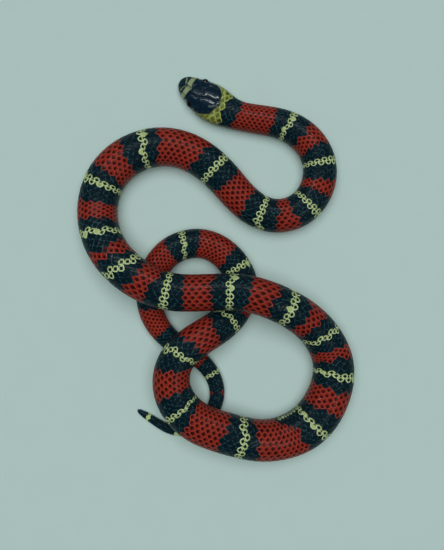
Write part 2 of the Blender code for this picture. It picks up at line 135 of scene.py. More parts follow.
# Rings of black round a line of yellow: front edge, yellow, rear edge, by distance back.
# Three numbers in place of one are the edge on the left, the back and the right, and pairs
# are a turn and the edge there.
RINGS = (
    ((40.2, 40.8, 41.2), (45.9, 46.5, 46.7), 53.1),
    ((60.2, 59.5, 60.2), 65.8, (73.2, 72.5, 71.8)),
    ((77.5, 76.5, 77.0), 82.4, (88.8, 88.8, 88.0)),
    ((95.5, 94.8, 95.5), (101.7, 101.1, 100.8), (108.2, 107.8, 107.0)),
    ((119.2, 118.5, 119.2), 126.0, (132.0, 133.2, 133.5)),
    ((149.0, 148.5, 149.8), (154.2, 154.6, 155.2), (161.2, 161.8, 162.0)),
    ((171.2, 171.0, 172.2), 176.9, (183.8, 185.0, 185.2)),
    ((191.8, 192.8, 195.5), (197.0, 199.0, 200.6), (204.0, 206.2, 205.6)),
    ((207.6, 208.4, 211.0), (212.0, 213.5, 214.3), (217.5, 218.0, 218.2)),
    ((224.2, 224.0, 226.2), 230.1, (237.0, 238.0, 237.8)),
    ((247.2, 246.8, 248.0), (252.9, 253.3, 253.9), (259.8, 260.5, 260.2)),
    ((268.0, 267.4, 268.5), 272.7, (278.0, 279.2, 278.5)),
    ((283.5, 283.6, 285.2), (288.0, 289.8, 291.2), (295.0, 297.2, 298.0)),
    (303.0, (307.6, 308.6, 308.7), (313.4, 314.5, 314.2)),
    ((323.3, 322.5, 322.3), 328.9, ((0.3, 346.2), (0.35, 344.5), (0.38, 341.6), (0.41, 337.4),
                                    (0.45, 335.1), (0.5, 335.2), (0.65, 334.6))),
    ((355.9, 354.3, 353.3), (360.1, 359.1, 358.7), (364.5, 364.8, 365.0)),
    ((379.9, 378.8, 378.5), (384.6, 383.9, 384.0), (393.0, 391.5, 390.4)),
    ((402.6, 400.3, 399.5), (406.9, 405.5, 405.0), (411.3, 410.6, 410.1)),
    ((418.2, 418.0, 418.6), (424.8, 424.7, 423.4), 430.8),
    (443.4, 448.2, (454.1, 454.0, 453.4)),
    ((466.1, 466.5, 467.4), (471.7, 471.8, 472.8), (477.9, 478.5, 478.4)),
    (487.7, 494.1, (502.0, 502.6, 503.5)), (512.7, 518.1, 524.3), (532.5, 537.5, 544.2),
    ((546.0, 544.6, 546.0), 553.2, 559.9), (561.5, 568.8, 575.1), (575.0, 581.5, 587.0),
)
# Turn from the back to the left and right edges, how far past them an edge runs on at the
# same slant, in that turn, and how far the black reaches past its edges.
EDGE_TURN = 0.12
EDGE_REACH = 1.5
BLACK_SPREAD = 0.3
COLLAR_END = (26.0, 27.0, 27.5)
# A yellow streak low on the left flank: distances back, then turns.
FLANK_STREAK = ((329.5, 344.0), (0.27, 0.31))
NAPE_END = 23.0
# Behind this distance the yellow of the tail's rings is solid.
SOLID_RINGS = 548.0
# Half widths of the yellow, in columns of scales, behind that distance and before it.
RING_HALVES = (0.8, 0.5)

# Signed turn from the crown to the belly, left positive, then where the black cap ends.
CAP_EDGE = ((-0.5, 8.0), (-0.42, 10.8), (-0.36, 14.2), (-0.31, 16.0), (-0.2, 18.1), (-0.1, 18.8),
            (0.0, 19.7), (0.1, 18.6), (0.2, 18.0), (0.26, 17.4), (0.34, 15.0), (0.42, 12.6),
            (0.48, 10.8), (0.56, 8.0))
NAPE_EDGE = ((-0.6, 21.4), (-0.3, 21.9), (-0.1, 21.5), (0.1, 21.4), (0.3, 21.7), (0.46, 20.9),
             (0.6, 20.4))

# Length of one column of scales, by distance back.
COLUMNS = ((0.0, 2.0), (21.0, 2.1), (24.0, 1.75), (30.0, 1.85), (54.0, 2.1), (90.0, 2.35),
           (141.0, 2.5), (186.0, 2.45), (241.0, 2.6), (286.0, 2.4), (340.0, 2.3), (400.0, 2.2),
           (460.0, 1.95), (506.0, 1.65), (528.0, 1.5), (560.0, 1.25), (587.0, 0.8))
# Ends of the stretches with one count of rows of scales, then that count.
ROWS = ((22.9, 17), (VENT, 21), (516.0, 17), (532.0, 13), (550.0, 11), (568.0, 9), (583.5, 7))
# Half of the belly plates' share of the way round, by distance back.
BELLY_SHARE = ((11.0, 0.012), (17.0, 0.03), (21.0, 0.09), (26.0, 0.125), (VENT, 0.13),
               (TAIL_END, 0.14))
# Depth of the skin under the outline, by distance back.
DEPTH = ((0.0, 0.28), (480.0, 0.28), (530.0, 0.2), (570.0, 0.12), (582.0, 0.06), (586.5, 0.02))
# Pieces that the scales of the back are joined in, and where each one ends.
SCALE_PIECES = (("scales_neck", 110.0), ("scales_fore", 215.0), ("scales_middle", 325.0),
                ("scales_hind", 440.0), ("scales_tail", 590.0))

# Where the head's shields stop and scales begin: turn from crown to belly, distance back.
SHIELDS_END = ((0.0, 19.5), (0.1, 18.6), (0.2, 18.0), (0.27, 17.1), (0.36, 17.2), (0.42, 17.6),
               (0.46, 16.6), (0.64, 16.2), (0.7, 13.8), (1.0, 13.1))

# Sutures of the crown: lines of distance back and offset, each also mirrored.
CROWN_SUTURES = (
    ((1.88, 0.0), (6.85, 0.0)),
    ((12.9, 0.0), (17.69, 0.0)),
    ((1.88, 0.0), (1.9, 1.3), (2.55, 2.3), (3.72, 2.45)),
    ((4.1, 0.0), (3.72, 2.45)),
    ((3.72, 2.45), (4.46, 3.35), (6.49, 3.75)),
    ((6.85, 0.0), (6.96, 1.1), (7.23, 2.05), (6.49, 3.5)),
    ((7.23, 2.05), (10.8, 1.6), (12.9, 0.0)),
    ((10.8, 1.6), (11.82, 4.0)),
    ((6.49, 3.6), (7.45, 4.25), (9.18, 4.7), (11.1, 4.7), (11.82, 4.0)),
    ((11.82, 4.0), (12.18, 4.4), (13.72, 4.95), (15.75, 4.8), (17.49, 3.5), (18.1, 1.6),
     (17.69, 0.0)),
)
# Sutures of the cheek: lines of distance back and height, on both sides.
CHEEK_SUTURES = (
    ((2.28, 3.1), (2.33, 4.3)),
    ((4.25, 3.0), (4.25, 4.8)),
    ((6.65, 3.0), (6.6, 5.2)),
    ((11.22, 3.45), (11.16, 4.45), (11.34, 5.9)),
    ((11.16, 4.45), (12.9, 4.8)),
    ((12.78, 3.9), (12.9, 4.8), (12.78, 6.1)),
    ((12.9, 4.8), (15.65, 5.2)),
    ((15.55, 4.6), (15.65, 5.2), (15.55, 6.6)),
    ((18.0, 4.8), (18.0, 6.9)),
)
# The mouth: distance back and height, from the middle of the snout to the jaw's corner.
MOUTH = ((1.2, 1.95), (2.55, 1.95), (4.97, 1.75), (8.1, 1.85), (11.46, 2.35), (14.33, 3.0),
         (16.37, 3.15))
LIP_JOINTS = (2.19, 3.67, 5.37, 7.34, 9.62, 12.06, 14.23, 15.96)
UPPER_LIP = (1.15, 1.15, 1.15, 1.1, 1.15, 1.35, 1.45, 1.4)
LOWER_LIP = (-0.8, -0.9, -1.0, -1.1, -1.15, -1.15, -1.15, -1.1)
# Sutures of the chin: distance back and offset on the underside, each also mirrored.
CHIN_SUTURES = (
    ((2.64, 0.0), (12.18, 0.0)),
    ((2.28, 1.2), (2.91, 0.5), (3.57, 0.0)),
    ((3.57, 0.0), (3.96, 1.5), (7.66, 2.1), (7.99, 0.0)),
    ((7.66, 2.1), (11.7, 1.7), (12.18, 0.0)),
    ((3.96, 1.5), (3.19, 1.9)),
    ((7.66, 2.1), (8.31, 3.2)),
    ((11.7, 1.7), (12.9, 3.4)),
)
SUTURE_STEP = 0.05

# The pale band over the snout, by signed turn from the crown: its middle and half length.
SNOUT_BAND = ((-0.5, 4.9), (-0.3, 4.95), (-0.16, 5.0), (-0.05, 5.15), (0.02, 5.9), (0.1, 5.6),
              (0.3, 5.5), (0.55, 5.4))
SNOUT_BAND_HALF = ((-0.5, 0.85), (-0.16, 0.85), (-0.05, 0.9), (0.02, 1.0), (0.1, 0.85),
                   (0.55, 0.8))
# Thin strips ahead of it, as distance back and signed turn.
SNOUT_STRIPS = (((2.75, -0.25), (3.1, -0.16), (3.5, -0.05), (3.95, 0.02)),
                ((4.3, 0.05), (3.9, 0.12), (3.65, 0.2), (3.45, 0.3)))
STRIP_HALF = 0.25
NOTCH = ((3.4, 0.03), (5.0, 0.03))
BAND_SPOT = ((6.1, 0.04), (0.7, 0.05))
# Softness of the band and strips, the level they fade out at, and depths of the gaps in them.
BAND_SOFT = 0.16
BAND_FOOT = (3.0, 3.4)
STRIP_SOFT = 0.12
STRIP_SHARE = 0.6
NOTCH_DEPTH = (0.9, 0.0, 0.2)
BAND_SPOT_DEPTH = (0.6, 0.0, 1.0)
BAND_YELLOW = 0.6
BAND_PALE = 0.22
# Pale patches: distance back and signed turn of the middle, and half sizes.
CHEEK_PATCHES = (((7.6, 0.42), (1.0, 0.075)), ((7.4, -0.39), (0.75, 0.05)))
PATCH_SHARE = 0.55
PATCH_EDGE = (0.7, 1.15)
# A faint green mark on the rear of the cap: its line, inner and outer edge, and strength.
CAP_MARK = (((16.2, 0.125), (17.1, 0.1), (17.7, 0.06), (18.4, 0.045)), (0.1, 0.55), 0.32)
# Waves that ripple that mark's edge: their pace by distance back and by turn, and depth.
CAP_WAVES = ((4.0, 30.0), (6.5, -25.0))
CAP_RIPPLE = 0.1
# Where the pale lips, chin and lores begin and end, and how strong they are.
LIPS_START = (2.4, 3.1)
LIPS_SHARE = 0.85
LIP_SOFT = 0.12
CHIN_SOFT = 0.1
LOREAL_FRONT = (4.3, 4.7)
LOREAL_REAR = (7.4, 7.9)
LOREAL_TOP = (4.1, 4.5)
LOREAL_SHARE = 0.75
PALE_END = (21.0, 25.0)
# Where the cheek turns to the nape's yellow, by distance back and by turn.
CHEEK_START = (10.8, 13.0)
CHEEK_TURN = (0.42, 0.5)
# Reach of the yellow each way and softness, on the head and on the rest of the skin.
HEAD_RINGS = (0.8, 0.13)
SKIN_RINGS = (0.9, 0.3)
# Dark in the sutures, and painted shade in the slit of the mouth and in the nostrils' pits.
SUTURE_INK = (0.04, 0.26)
SUTURE_SHARE = 0.9
MOUTH_PAINTED_SHADE = (1.0, 0.0, 0.16)
NOSTRIL_PAINTED_SHADE = (1.0, 0.0, 0.8, 4)

# The relief of the head. A ridge is its height, its distance from the line and its width.
SUTURE_SLOPE = (0.03, 0.24)
DOME_SLOPE = (0.1, 1.3)
MOUTH_WIDTH = 0.13
LIP_ROLL = (0.07, 0.42, 0.2)
EYE_RIM = (0.13, 0.36, 0.17)
EYE_GROOVE = (-0.16, 0.06, 0.09)
EYE_LAP = 0.05
EYE_HOLLOW = 0.35
NOSTRIL_RIM = (0.08, 1.35, 0.35)
NOSTRIL_PIT = (-0.42, 0.0, 0.72, 4)

# The eyes and nostrils, as the solids have them.
EYE_BACK = 9.4
EYE_SIDE = 4.93
EYE_HEIGHT = 4.42
EYE_RADIUS = 1.45
NOSTRIL = (2.78, 3.75)
NOSTRIL_RADIUS = 0.36

# Points round the skin, fine on the head and one in five of them on the body, its rows, the
# rings that close the snout and the least height of the skin over the floor.
SKIN_TURNS = 300
BELLY_TURNS = 40
TURN_RATIO = 5
BELLY_QUARTER = 0.13
SNOUT_RINGS = (0.2, 0.45, 0.7, 0.88)
SNOUT_BULGE = 0.16
SHIELD_STEP = 0.095
NAPE_STEP = 0.4
SHIELDED = 18.8
SKIN_STEP = 1.0
TIP_START = 580.0
TIP_STEP = 0.32
SKIN_FLOOR = 0.01
SNOUT_POINTS = 12
SIDES = (1.0, -1.0)
# The skin is darkened towards black where it lies under the scales, and it lies near the middle of
# a scale's colours.
HIDDEN_DARK = 0.35
SKIN_PLACE = (0.4, 0.0, 0.0)

# The unwrap: the head above, the body in strips below it, the snout's cap in a round spot,
# and a small patch for each scale and plate.
HEAD_BLOCK = (0.01, 0.52, 0.47, 0.46)
STRIPS = 5
STRIP_PITCH = 0.1
STRIP_ROOM = 0.092
STRIP_LEFT = 0.01
STRIP_WIDTH = 0.98
STRIP_LENGTH = (TAIL_END - NECK_START) / STRIPS
CAP_SPOT = (0.75, 0.6)
CAP_REACH = 0.04
PATCH = 0.003

# One scale: reach forward and back in columns, half width in rows, its corners' power, the
# rings of points from its middle out, and how rounded its edge and narrow its underside are.
SCALE_FRONT = 0.86
SCALE_REAR = 0.6
SCALE_HALF = 0.99
FRONT_POWER = 1.7
REAR_POWER = 1.45
SCALE_CORNERS = 14
SCALE_RINGS = (0.5, 0.84, 0.96)
ROUNDED = 0.25
UNDER_SHARE = 0.94
# How far the lowest rows tuck under the belly plates in rows, and the gap from the shields.
ROW_TUCK = 0.2
BORDER_ROOM = 0.3
FIRST_SEAT = 10.0
# Where colour is read in a scale, and the spread of its edge, in columns.
SCALE_CENTRE = 0.05
EDGE_JITTER = 0.07
# How far a draw moves a scale back in columns, sideways in rows and up at its tip.
SEAT_JITTER = (0.02, 0.03, 0.012)
PALE_JITTER = (0.8, 0.4)
YELLOW_HOLD = 0.75
# Paleness by the count of rows up from the belly, on the flanks and on the throat.
FLANK_PALE = ((0.0, 0.42), (1.0, 0.34), (2.0, 0.2), (3.0, 0.08), (4.0, 0.0))
THROAT_PALE = ((0.0, 0.9), (3.0, 0.5), (5.0, 0.0))
THROAT_END = 26.0

# The belly plates: reach forward and back in columns, how far they tuck under the flanks, how
# far from the tail tip they end, and the form of their tips, corners, sides and undersides.
PLATES_START = 17.5
PLATE_FRONT = 0.55
PLATE_REAR = 0.72
PLATE_OVERHANG = 0.012
PLATE_ACROSS = 13
PLATE_ALONG = 4
PLATES_SHORT = 3.5
PAIR_OFFSET = 0.96
PLATE_TIP = 0.01
PLATE_CORNER = 0.22
PLATE_TUCK = 0.1
PLATE_UNDER = 0.97
PLATE_INSET = (0.03, 0.94)
# Colours of the plates: pale, more pale on red, spread of both, and the throat's pale.
PLATE_PALE = (0.28, 0.42, 0.1)
THROAT_PLATE = 0.95
PLATE_JITTER = 0.3
PLATE_RINGS = (1.1, 0.01)
SCALE_MARKS = (1.0, 0.01)
PLATE_PLACE = (1.2, 0.7)
PLATE_TONE = (0.2, 0.2)

# Colours that a scale blends, as the settings name them.
PALETTE = ("Red", "Red Edge", "Spot", "Black", "Black Edge Glint", "Yellow", "Yellow Edge", "Olive",
           "Nape Edge", "Pale")
# Roughness where smooth and where worn, grain, wave, specular level, coat and its roughness.
FINISHES = {
    "shield_gloss": (0.22, 0.32, 0.2, 18.0, 0.12, 0.36, 0.06),
    "scale_satin": (0.4, 0.5, 0.35, 6.0, 0.08, 0.1, 0.12),
    "plate_satin": (0.3, 0.42, 0.2, 0.0, 0.25, 0.1, 0.2),
}
GRAIN_DEPTH = 0.00002
# Noise scales per metre: ragged edges, painted glint specks, patches, grain, wear and waves.
RAGGED_NOISE, GLINT_SPECK_NOISE, PATCH_NOISE = 2600.0, 1300.0, 420.0
GRAIN_NOISE, WEAR_NOISE, WAVE_NOISE = 6000.0, 300.0, 520.0
RAGGED = 0.5
# Marks in a scale: the middle along it, half length and half width, then where they fade.
SPOT = (0.2, 0.3, 0.46)
SPOT_POWER = 1.3
SPOT_SIZE = (0.4, 0.85)
SPOT_FADE = (0.6, 1.25)
SPOT_SHARE = 0.93
HOLE = (0.15, 0.3, 0.62)
HOLE_FADE = (0.72, 1.0, 1.0, 0.0)
HOLE_TONE = (0.08, 0.14)
RIM_LENGTH = 0.58
RIM_FADE = (0.62, 1.0)
OLIVE_FADE = (0.5, 0.95)
GLINT_SPECK_FADE = (0.48, 0.64, 0.06, 1.0)
BAND_FADE = (0.29, 0.4, 1.0, 0.0)
BAND_RAGGED = 0.4
SOLID_TONE = (0.02, 0.06, 1.0, 0.0)
BLOT_TONE = (0.5, 0.65, 0.0, 0.75)
PALE_FADE = (0.2, 0.6, 0.75, 1.0)
DARK_SHARE = 0.85
# The fine grain's streaks: their pace across a scale and their height.
STREAKS = (34.0, 0.18)
WEAR_FADE = (0.3, 0.7)
# The eye: where the pupil starts as the surface turns outwards, and its dark outer ring.
PUPIL_EDGE = (0.86, 0.9)
IRIS_END = (0.55, 0.68, 1.0, 0.0)
FLECK_NOISE = 2400.0

# The middle and the level that the camera looks at, and the floor, all in metres.
VIEW_CENTRE = (0.0023, -0.0030)
VIEW_LEVEL = 0.0065
FLOOR_LEVEL = -0.00003
SKY_TINT = (0.88, 0.98, 1.0, 1.0)
LAMP_TINT = (0.95, 1.0, 1.0)
# The soft light falls from above, as wide as a big lamp box, and shows in no reflection.
SOFT_PLACE = (-0.02, 0.09, 0.8)
SOFT_ANGLE = math.radians(53.0)
# Narrow lamps that only make glints: place, length and width, and share of the power.
GLINT_LAMPS = (((-0.05, 0.36, 0.6), (0.7, 0.03), 1.0), ((0.35, -0.25, 0.6), (0.3, 0.03), 0.4))

SEED = 7


def natural_spline(knots, values, wanted):
    """Smooth curve through values at knots, read at the wanted places."""
    knots = np.asarray(knots, float)
    values = np.asarray(values, float)
    count = len(knots)
    step = np.diff(knots)
    slope = np.diff(values, axis=0) / step[:, None]
    matrix = np.eye(count)
    bend = np.zeros_like(values)
    for i in range(1, count - 1):
        matrix[i, i - 1:i + 2] = (step[i - 1], 2.0 * (step[i - 1] + step[i]), step[i])
        bend[i] = 6.0 * (slope[i] - slope[i - 1])
    bend = np.linalg.solve(matrix, bend)
    i = np.clip(np.searchsorted(knots, wanted, side="right") - 1, 0, count - 2)
    h = step[i][:, None]
    a = (knots[i + 1] - wanted)[:, None] / h
    b = 1.0 - a
    curve = a * values[i] + b * values[i + 1]
    return curve + ((a ** 3 - a) * bend[i] + (b ** 3 - b) * bend[i + 1]) * h * h / 6.0


def read(table, wanted):
    """A straight reading between the rows of a table of two columns."""
    places, values = np.array(table, float).T
    return np.interp(wanted, places, values)


def ease(table, back):
    """A value that rests at each row of the table and turns smoothly between rows."""
    places, values = np.array(table, float).T
    back = np.clip(back, places[0], places[-1])
    i = np.clip(np.searchsorted(places, back) - 1, 0, len(places) - 2)
    part = (back - places[i]) / (places[i + 1] - places[i])
    return values[i] + (values[i + 1] - values[i]) * part * part * (3.0 - 2.0 * part)


def step_up(start, end, value):
    """A smooth rise from 0 at the start to 1 at the end."""
    part = np.clip((value - start) / (end - start), 0.0, 1.0)
    return part * part * (3.0 - 2.0 * part)


def step_down(start, end, value):
    return 1.0 - step_up(start, end, value)


def past(edge, soft, value):
    """A smooth rise from 0 to 1 where the value passes a soft edge."""
    return step_up(edge - soft, edge + soft, value)


def before(edge, soft, value):
    return 1.0 - past(edge, soft, value)


def ridge(gap, height, middle, width, power=2):
    """A ridge at a distance from a line, or a furrow where its height is negative."""
    return height * np.exp(-((gap - middle) / width) ** power)


def unit(vectors):
    return vectors / np.linalg.norm(vectors, axis=-1, keepdims=True)


def grid_of(*axes):
    """Every pair of values of two axes, each as one long row, the first axis slowest."""
    return (grid.ravel() for grid in np.meshgrid(*axes, indexing="ij"))


class Outline:
    """The animal's outer surface, read by distance back and by turn.

    The turn is the share of the way round: 0 under the belly, a quarter at the left flank,
    a half on the back and three quarters at the right flank.
    """

    def __init__(self):
        points = np.array(ROUTE)
        knots = self.lengths(points)
        self.plan = natural_spline(knots, points, np.linspace(0.0, knots[-1], ROUTE_SAMPLES))
        self.distance = self.lengths(self.plan)
        self.stations = np.concatenate((np.arange(SNOUT_START, NECK_START, HEAD_STEP),
                                        np.arange(NECK_START, TAIL_END, BODY_STEP), [TAIL_END]))
        self.make_sections()
        self.make_surface()

    @staticmethod
    def lengths(points):
        """The way along a line of points up to each of them."""
        return np.append(0.0, np.cumsum(np.linalg.norm(np.diff(points, axis=0), axis=1)))

    def middle(self, back):
        """Points of the route, with the belly's lift as their height."""
        inside = np.clip(back, 0.0, self.distance[-1])
        x, y = (np.interp(inside, self.distance, self.plan[:, axis]) for axis in (0, 1))
        return np.stack((x, y, ease(LIFT, back)), axis=-1)

    def frame(self, back):
        """Points under the belly, the way to the left and the way up."""
        ahead = unit(self.middle(back + REACH) - self.middle(back - REACH))
        across = unit(np.stack((ahead[..., 1], -ahead[..., 0], 0.0 * back), axis=-1))
        return self.middle(back), across, np.cross(across, ahead)

    def section_sizes(self, back):
        """Half width, underside, widest level, crown and roundness of the sections."""
        girth, head = np.array(GIRTH), np.array(HEAD)
        half = natural_spline(girth[:, 0], girth[:, 1:], back)[:, 0] / 2.0
        body = np.stack((half, 0.0 * half, LEVEL * half, CROWN * half,
                         np.full_like(half, BACK_ROUNDNESS)), axis=1)
        head = natural_spline(head[:, 0], head[:, 1:], back)
        sizes = np.where((back < NECK_START)[:, None], head, body)
        sizes[:, 1] = np.maximum(sizes[:, 1], 0.0)
        return sizes

    def make_sections(self):
        """Offset and height round every station, at even steps of the turn."""
        sizes = self.section_sizes(self.stations)
        angle = np.linspace(-0.5 * math.pi, 1.5 * math.pi, ROUND_SAMPLES)[None, :]
        half, bottom, level, crown, power = (sizes[:, i:i + 1] for i in range(5))
        over = np.sin(angle) >= 0.0
        power = 2.0 / np.where(over, power, BELLY_ROUNDNESS)
        side = half * np.sign(np.cos(angle)) * np.abs(np.cos(angle)) ** power
        rise = np.abs(np.sin(angle)) ** power
        deep = level - bottom + BELLY_TUCK * half
        height = np.where(over, level + (crown - level) * rise, level - deep * rise)
        height = np.maximum(height, bottom)
        run = np.hypot(np.diff(side, axis=1), np.diff(height, axis=1))
        turns = np.linspace(0.0, 1.0, TURN_SAMPLES)
        self.perimeter = run.sum(axis=1)
        self.side = np.empty((len(self.stations), TURN_SAMPLES))
        self.height = np.empty_like(self.side)
        for i, steps in enumerate(run):
            way = np.append(0.0, np.cumsum(steps))
            self.side[i] = np.interp(turns * way[-1], way, side[i])
            self.height[i] = np.interp(turns * way[-1], way, height[i])

    def make_surface(self):
        """Places and outward directions at every station and turn."""
        foot, across, up = self.frame(self.stations)
        self.places = (foot[:, None] + across[:, None] * self.side[..., None]
                       + up[:, None] * self.height[..., None])
        along = np.gradient(self.places, axis=0)
        ring = self.places[:, :-1]
        beside = np.roll(ring, -1, axis=1) - np.roll(ring, 1, axis=1)
        beside = np.concatenate((beside, beside[:, :1]), axis=1)
        self.outward = unit(np.cross(along, beside))

    def read_grid(self, grid, back, turn):
        """Any grid of values, read between its stations and turns."""
        row = np.interp(back, self.stations, np.arange(len(self.stations)))
        column = np.clip(np.mod(turn, 1.0), 0.0, 1.0) * (TURN_SAMPLES - 1)
        i = np.minimum(row.astype(int), len(self.stations) - 2)
        j = np.minimum(column.astype(int), TURN_SAMPLES - 2)
        f, g = row - i, column - j
        if grid.ndim == 3:
            f, g = f[..., None], g[..., None]
        near = grid[i, j] * (1.0 - g) + grid[i, j + 1] * g
        far = grid[i + 1, j] * (1.0 - g) + grid[i + 1, j + 1] * g
        return near * (1.0 - f) + far * f

    def place(self, back, turn, out):
        """Points that stand off the surface by a distance outwards."""
        here = self.read_grid(self.places, back, turn)
        outward = unit(self.read_grid(self.outward, back, turn))
        return here + outward * np.asarray(out)[..., None]

    def girth(self, back):
        return np.interp(back, self.stations, self.perimeter)


def strip_of(back):
    """The strip of the unwrap that a distance back falls in, and -1 on the head."""
    return np.clip(np.floor((back - NECK_START) / STRIP_LENGTH), -1, STRIPS - 1)


def unwrap(back, turn, strip):
    """Places on the unwrapped skin, in the strips they are said to be in."""
    left, low, width, tall = HEAD_BLOCK
    head = (left + width * back / NECK_START, low + tall * turn)
    body = (STRIP_LEFT + STRIP_WIDTH * (back - NECK_START - strip * STRIP_LENGTH) / STRIP_LENGTH,
            STRIP_PITCH * strip + (STRIP_PITCH - STRIP_ROOM) / 2.0 + STRIP_ROOM * turn)
    return np.stack([np.where(strip < 0, *pair) for pair in zip(head, body)], -1)


def edge_of(value, turn):
    """An edge of a ring at a turn, from one number, from left, back and right, or from pairs."""
    if not isinstance(value, tuple):
        return np.full_like(turn, value)
    if isinstance(value[0], tuple):
        return read(value, turn)
    left, middle, right = value
    leftward = np.clip((0.5 - turn) / EDGE_TURN, 0.0, EDGE_REACH)
    rightward = np.clip((turn - 0.5) / EDGE_TURN, 0.0, EDGE_REACH)
    return middle + (left - middle) * leftward + (right - middle) * rightward


def crown_turn(turn):
    """The signed turn from the crown, from 0 there to 1 under the belly, left positive."""
    return (0.5 - turn) * 2.0


def ring_marks(back, turn, width, soft):
    """Shares of red, ring yellow and nape yellow at places of the body and nape.

    The width is the reach of the yellow each way, and soft blurs all edges.
    """
    black = before(edge_of(COLLAR_END, turn) + BLACK_SPREAD, soft, back)
    yellow = np.zeros_like(back)
    for front, middle, rear in RINGS:
        inside = past(edge_of(front, turn) - BLACK_SPREAD, soft, back)
        inside = inside * before(edge_of(rear, turn) + BLACK_SPREAD, soft, back)
        black = np.maximum(black, inside)
        off = np.abs(back - edge_of(middle, turn))
        yellow = np.maximum(yellow, before(width, soft, off))
    signed = crown_turn(turn)
    nuchal = past(read(CAP_EDGE, signed), soft, back) * before(read(NAPE_EDGE, signed), soft, back)
    return 1.0 - black, yellow, nuchal


def make_mesh(name, places, faces):
    """A mesh from points in millimetres and lists of corners of one count each."""
    loops = np.concatenate([group.ravel() for group in faces]).astype(np.int32)
    totals = np.concatenate([np.full(len(group), group.shape[1]) for group in faces])
    starts = np.append(0, np.cumsum(totals)[:-1]).astype(np.int32)
    mesh = bpy.data.meshes.new(name)
    mesh.vertices.add(len(places))
    mesh.vertices.foreach_set("co", (places * MM).astype(np.float32).ravel())
    mesh.loops.add(len(loops))
    mesh.loops.foreach_set("vertex_index", loops)
    mesh.polygons.add(len(starts))
    mesh.polygons.foreach_set("loop_start", starts)
    mesh.update(calc_edges=True)
    mesh.shade_smooth()
    return mesh, loops


def write_points(mesh, name, values):
    """Store one vector for every point of a mesh."""
    layer = mesh.attributes.new(name, "FLOAT_VECTOR", "POINT")
    layer.data.foreach_set("vector", values.astype(np.float32).ravel())


def write_unwrap(mesh, corners):
    layer = mesh.uv_layers.new(name="OFBake")
    layer.data.foreach_set("uv", corners.astype(np.float32).ravel())


def show(mesh, shade):
    """Link a mesh as a piece that rides on the animal."""
    made = bpy.data.objects.new(mesh.name, mesh)
    bpy.context.scene.collection.objects.link(made)
    mesh.materials.append(shade)
    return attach(made, BODY)


# The head's relief


def along_line(points, surface, sign):
    """Places along a line on one side of the head, at short even steps."""
    made = []
    for start, end in zip(points, points[1:]):
        count = max(2, int(math.dist(start, end) / SUTURE_STEP))
        made += [surface(*(np.array(start) + (np.array(end) - start) * i / count), sign)
                 for i in range(count + 1)]
    return made


def lip_sutures():
    """The far edge of each lip, and a joint from the mouth to it between its shields."""
    lips = read(MOUTH, LIP_JOINTS)
    lines = []
    for reach in (UPPER_LIP, LOWER_LIP):
        far = lips + np.array(reach)
        lines.append(list(zip(LIP_JOINTS, far)))
        lines += [((back, lip), (back, edge)) for back, lip, edge in zip(LIP_JOINTS, lips, far)]
    return lines


def distances(places, centres):
    """Distance from each place to the nearest of a few centres."""
    return np.min([np.linalg.norm(places - centre, axis=1) for centre in centres], axis=0)


Gaps = namedtuple("Gaps", "suture mouth eye nostril")


class HeadLines:
    """The head's sutures, mouth, eyes and nostrils as places, and how near they are."""

    def __init__(self, outline):
        self.outline = outline
        self.grid = np.arange(SNOUT_START, NECK_START, HEAD_STEP)
        self.sizes = outline.section_sizes(self.grid)

    def place(self, back, side, height):
        foot, across, up = self.outline.frame(np.array([back]))
        return (foot + across * side + up * height)[0]

    def size(self, back):
        return [np.interp(back, self.grid, self.sizes[:, i]) for i in range(5)]

    def crown(self, back, side, sign):
        half, _, level, crown, power = self.size(back)
        rise = (1.0 - min(abs(side) / half, 1.0) ** power) ** (1.0 / power)
        return self.place(back, side * sign, level + (crown - level) * rise)

    def flank(self, back, height, sign):
        half, bottom, level, crown, power = self.size(back)
        if height >= level:
            share = min((height - level) / (crown - level), 1.0)
        else:
            power = BELLY_ROUNDNESS
            share = min((level - height) / (level - bottom + BELLY_TUCK * half), 1.0)
        return self.place(back, sign * half * (1.0 - share ** power) ** (1.0 / power), height)

    def chin(self, back, side, sign):
        half, bottom, level, _, _ = self.size(back)
        fall = (1.0 - min(abs(side) / half, 1.0) ** BELLY_ROUNDNESS) ** (1.0 / BELLY_ROUNDNESS)
        deep = (level - bottom + BELLY_TUCK * half) * fall
        return self.place(back, side * sign, max(level - deep, bottom))

    def near(self, groups, extra, places):
        """Distance from places to the nearest of some lines on both sides, or of extra points."""
        points = list(extra)
        for lines, surface in groups:
            for line in lines:
                for sign in SIDES:
                    points += along_line(line, surface, sign)
        tree = KDTree(len(points))
        for i, point in enumerate(points):
            tree.insert(point, i)
        tree.balance()
        return np.array([tree.find(place)[2] for place in places])

    def gaps(self, places):
        """How far places are from the sutures, the mouth, the eyes and the nostrils."""
        sutures = ((CROWN_SUTURES, self.crown), (CHEEK_SUTURES, self.flank),
                   (CHIN_SUTURES, self.chin), (lip_sutures(), self.flank))
        width = self.size(SNOUT_START)[0]
        front = [self.place(SNOUT_START, side, MOUTH[0][1])
                 for side in np.linspace(-width, width, SNOUT_POINTS)]
        eyes = [self.place(EYE_BACK, sign * EYE_SIDE, EYE_HEIGHT) for sign in SIDES]
        nostrils = [self.flank(*NOSTRIL, sign) for sign in SIDES]
        return Gaps(self.near(sutures, (), places),
                    self.near((((MOUTH,), self.flank),), front, places),
                    distances(places, eyes) - EYE_RADIUS,
                    distances(places, nostrils) / NOSTRIL_RADIUS)


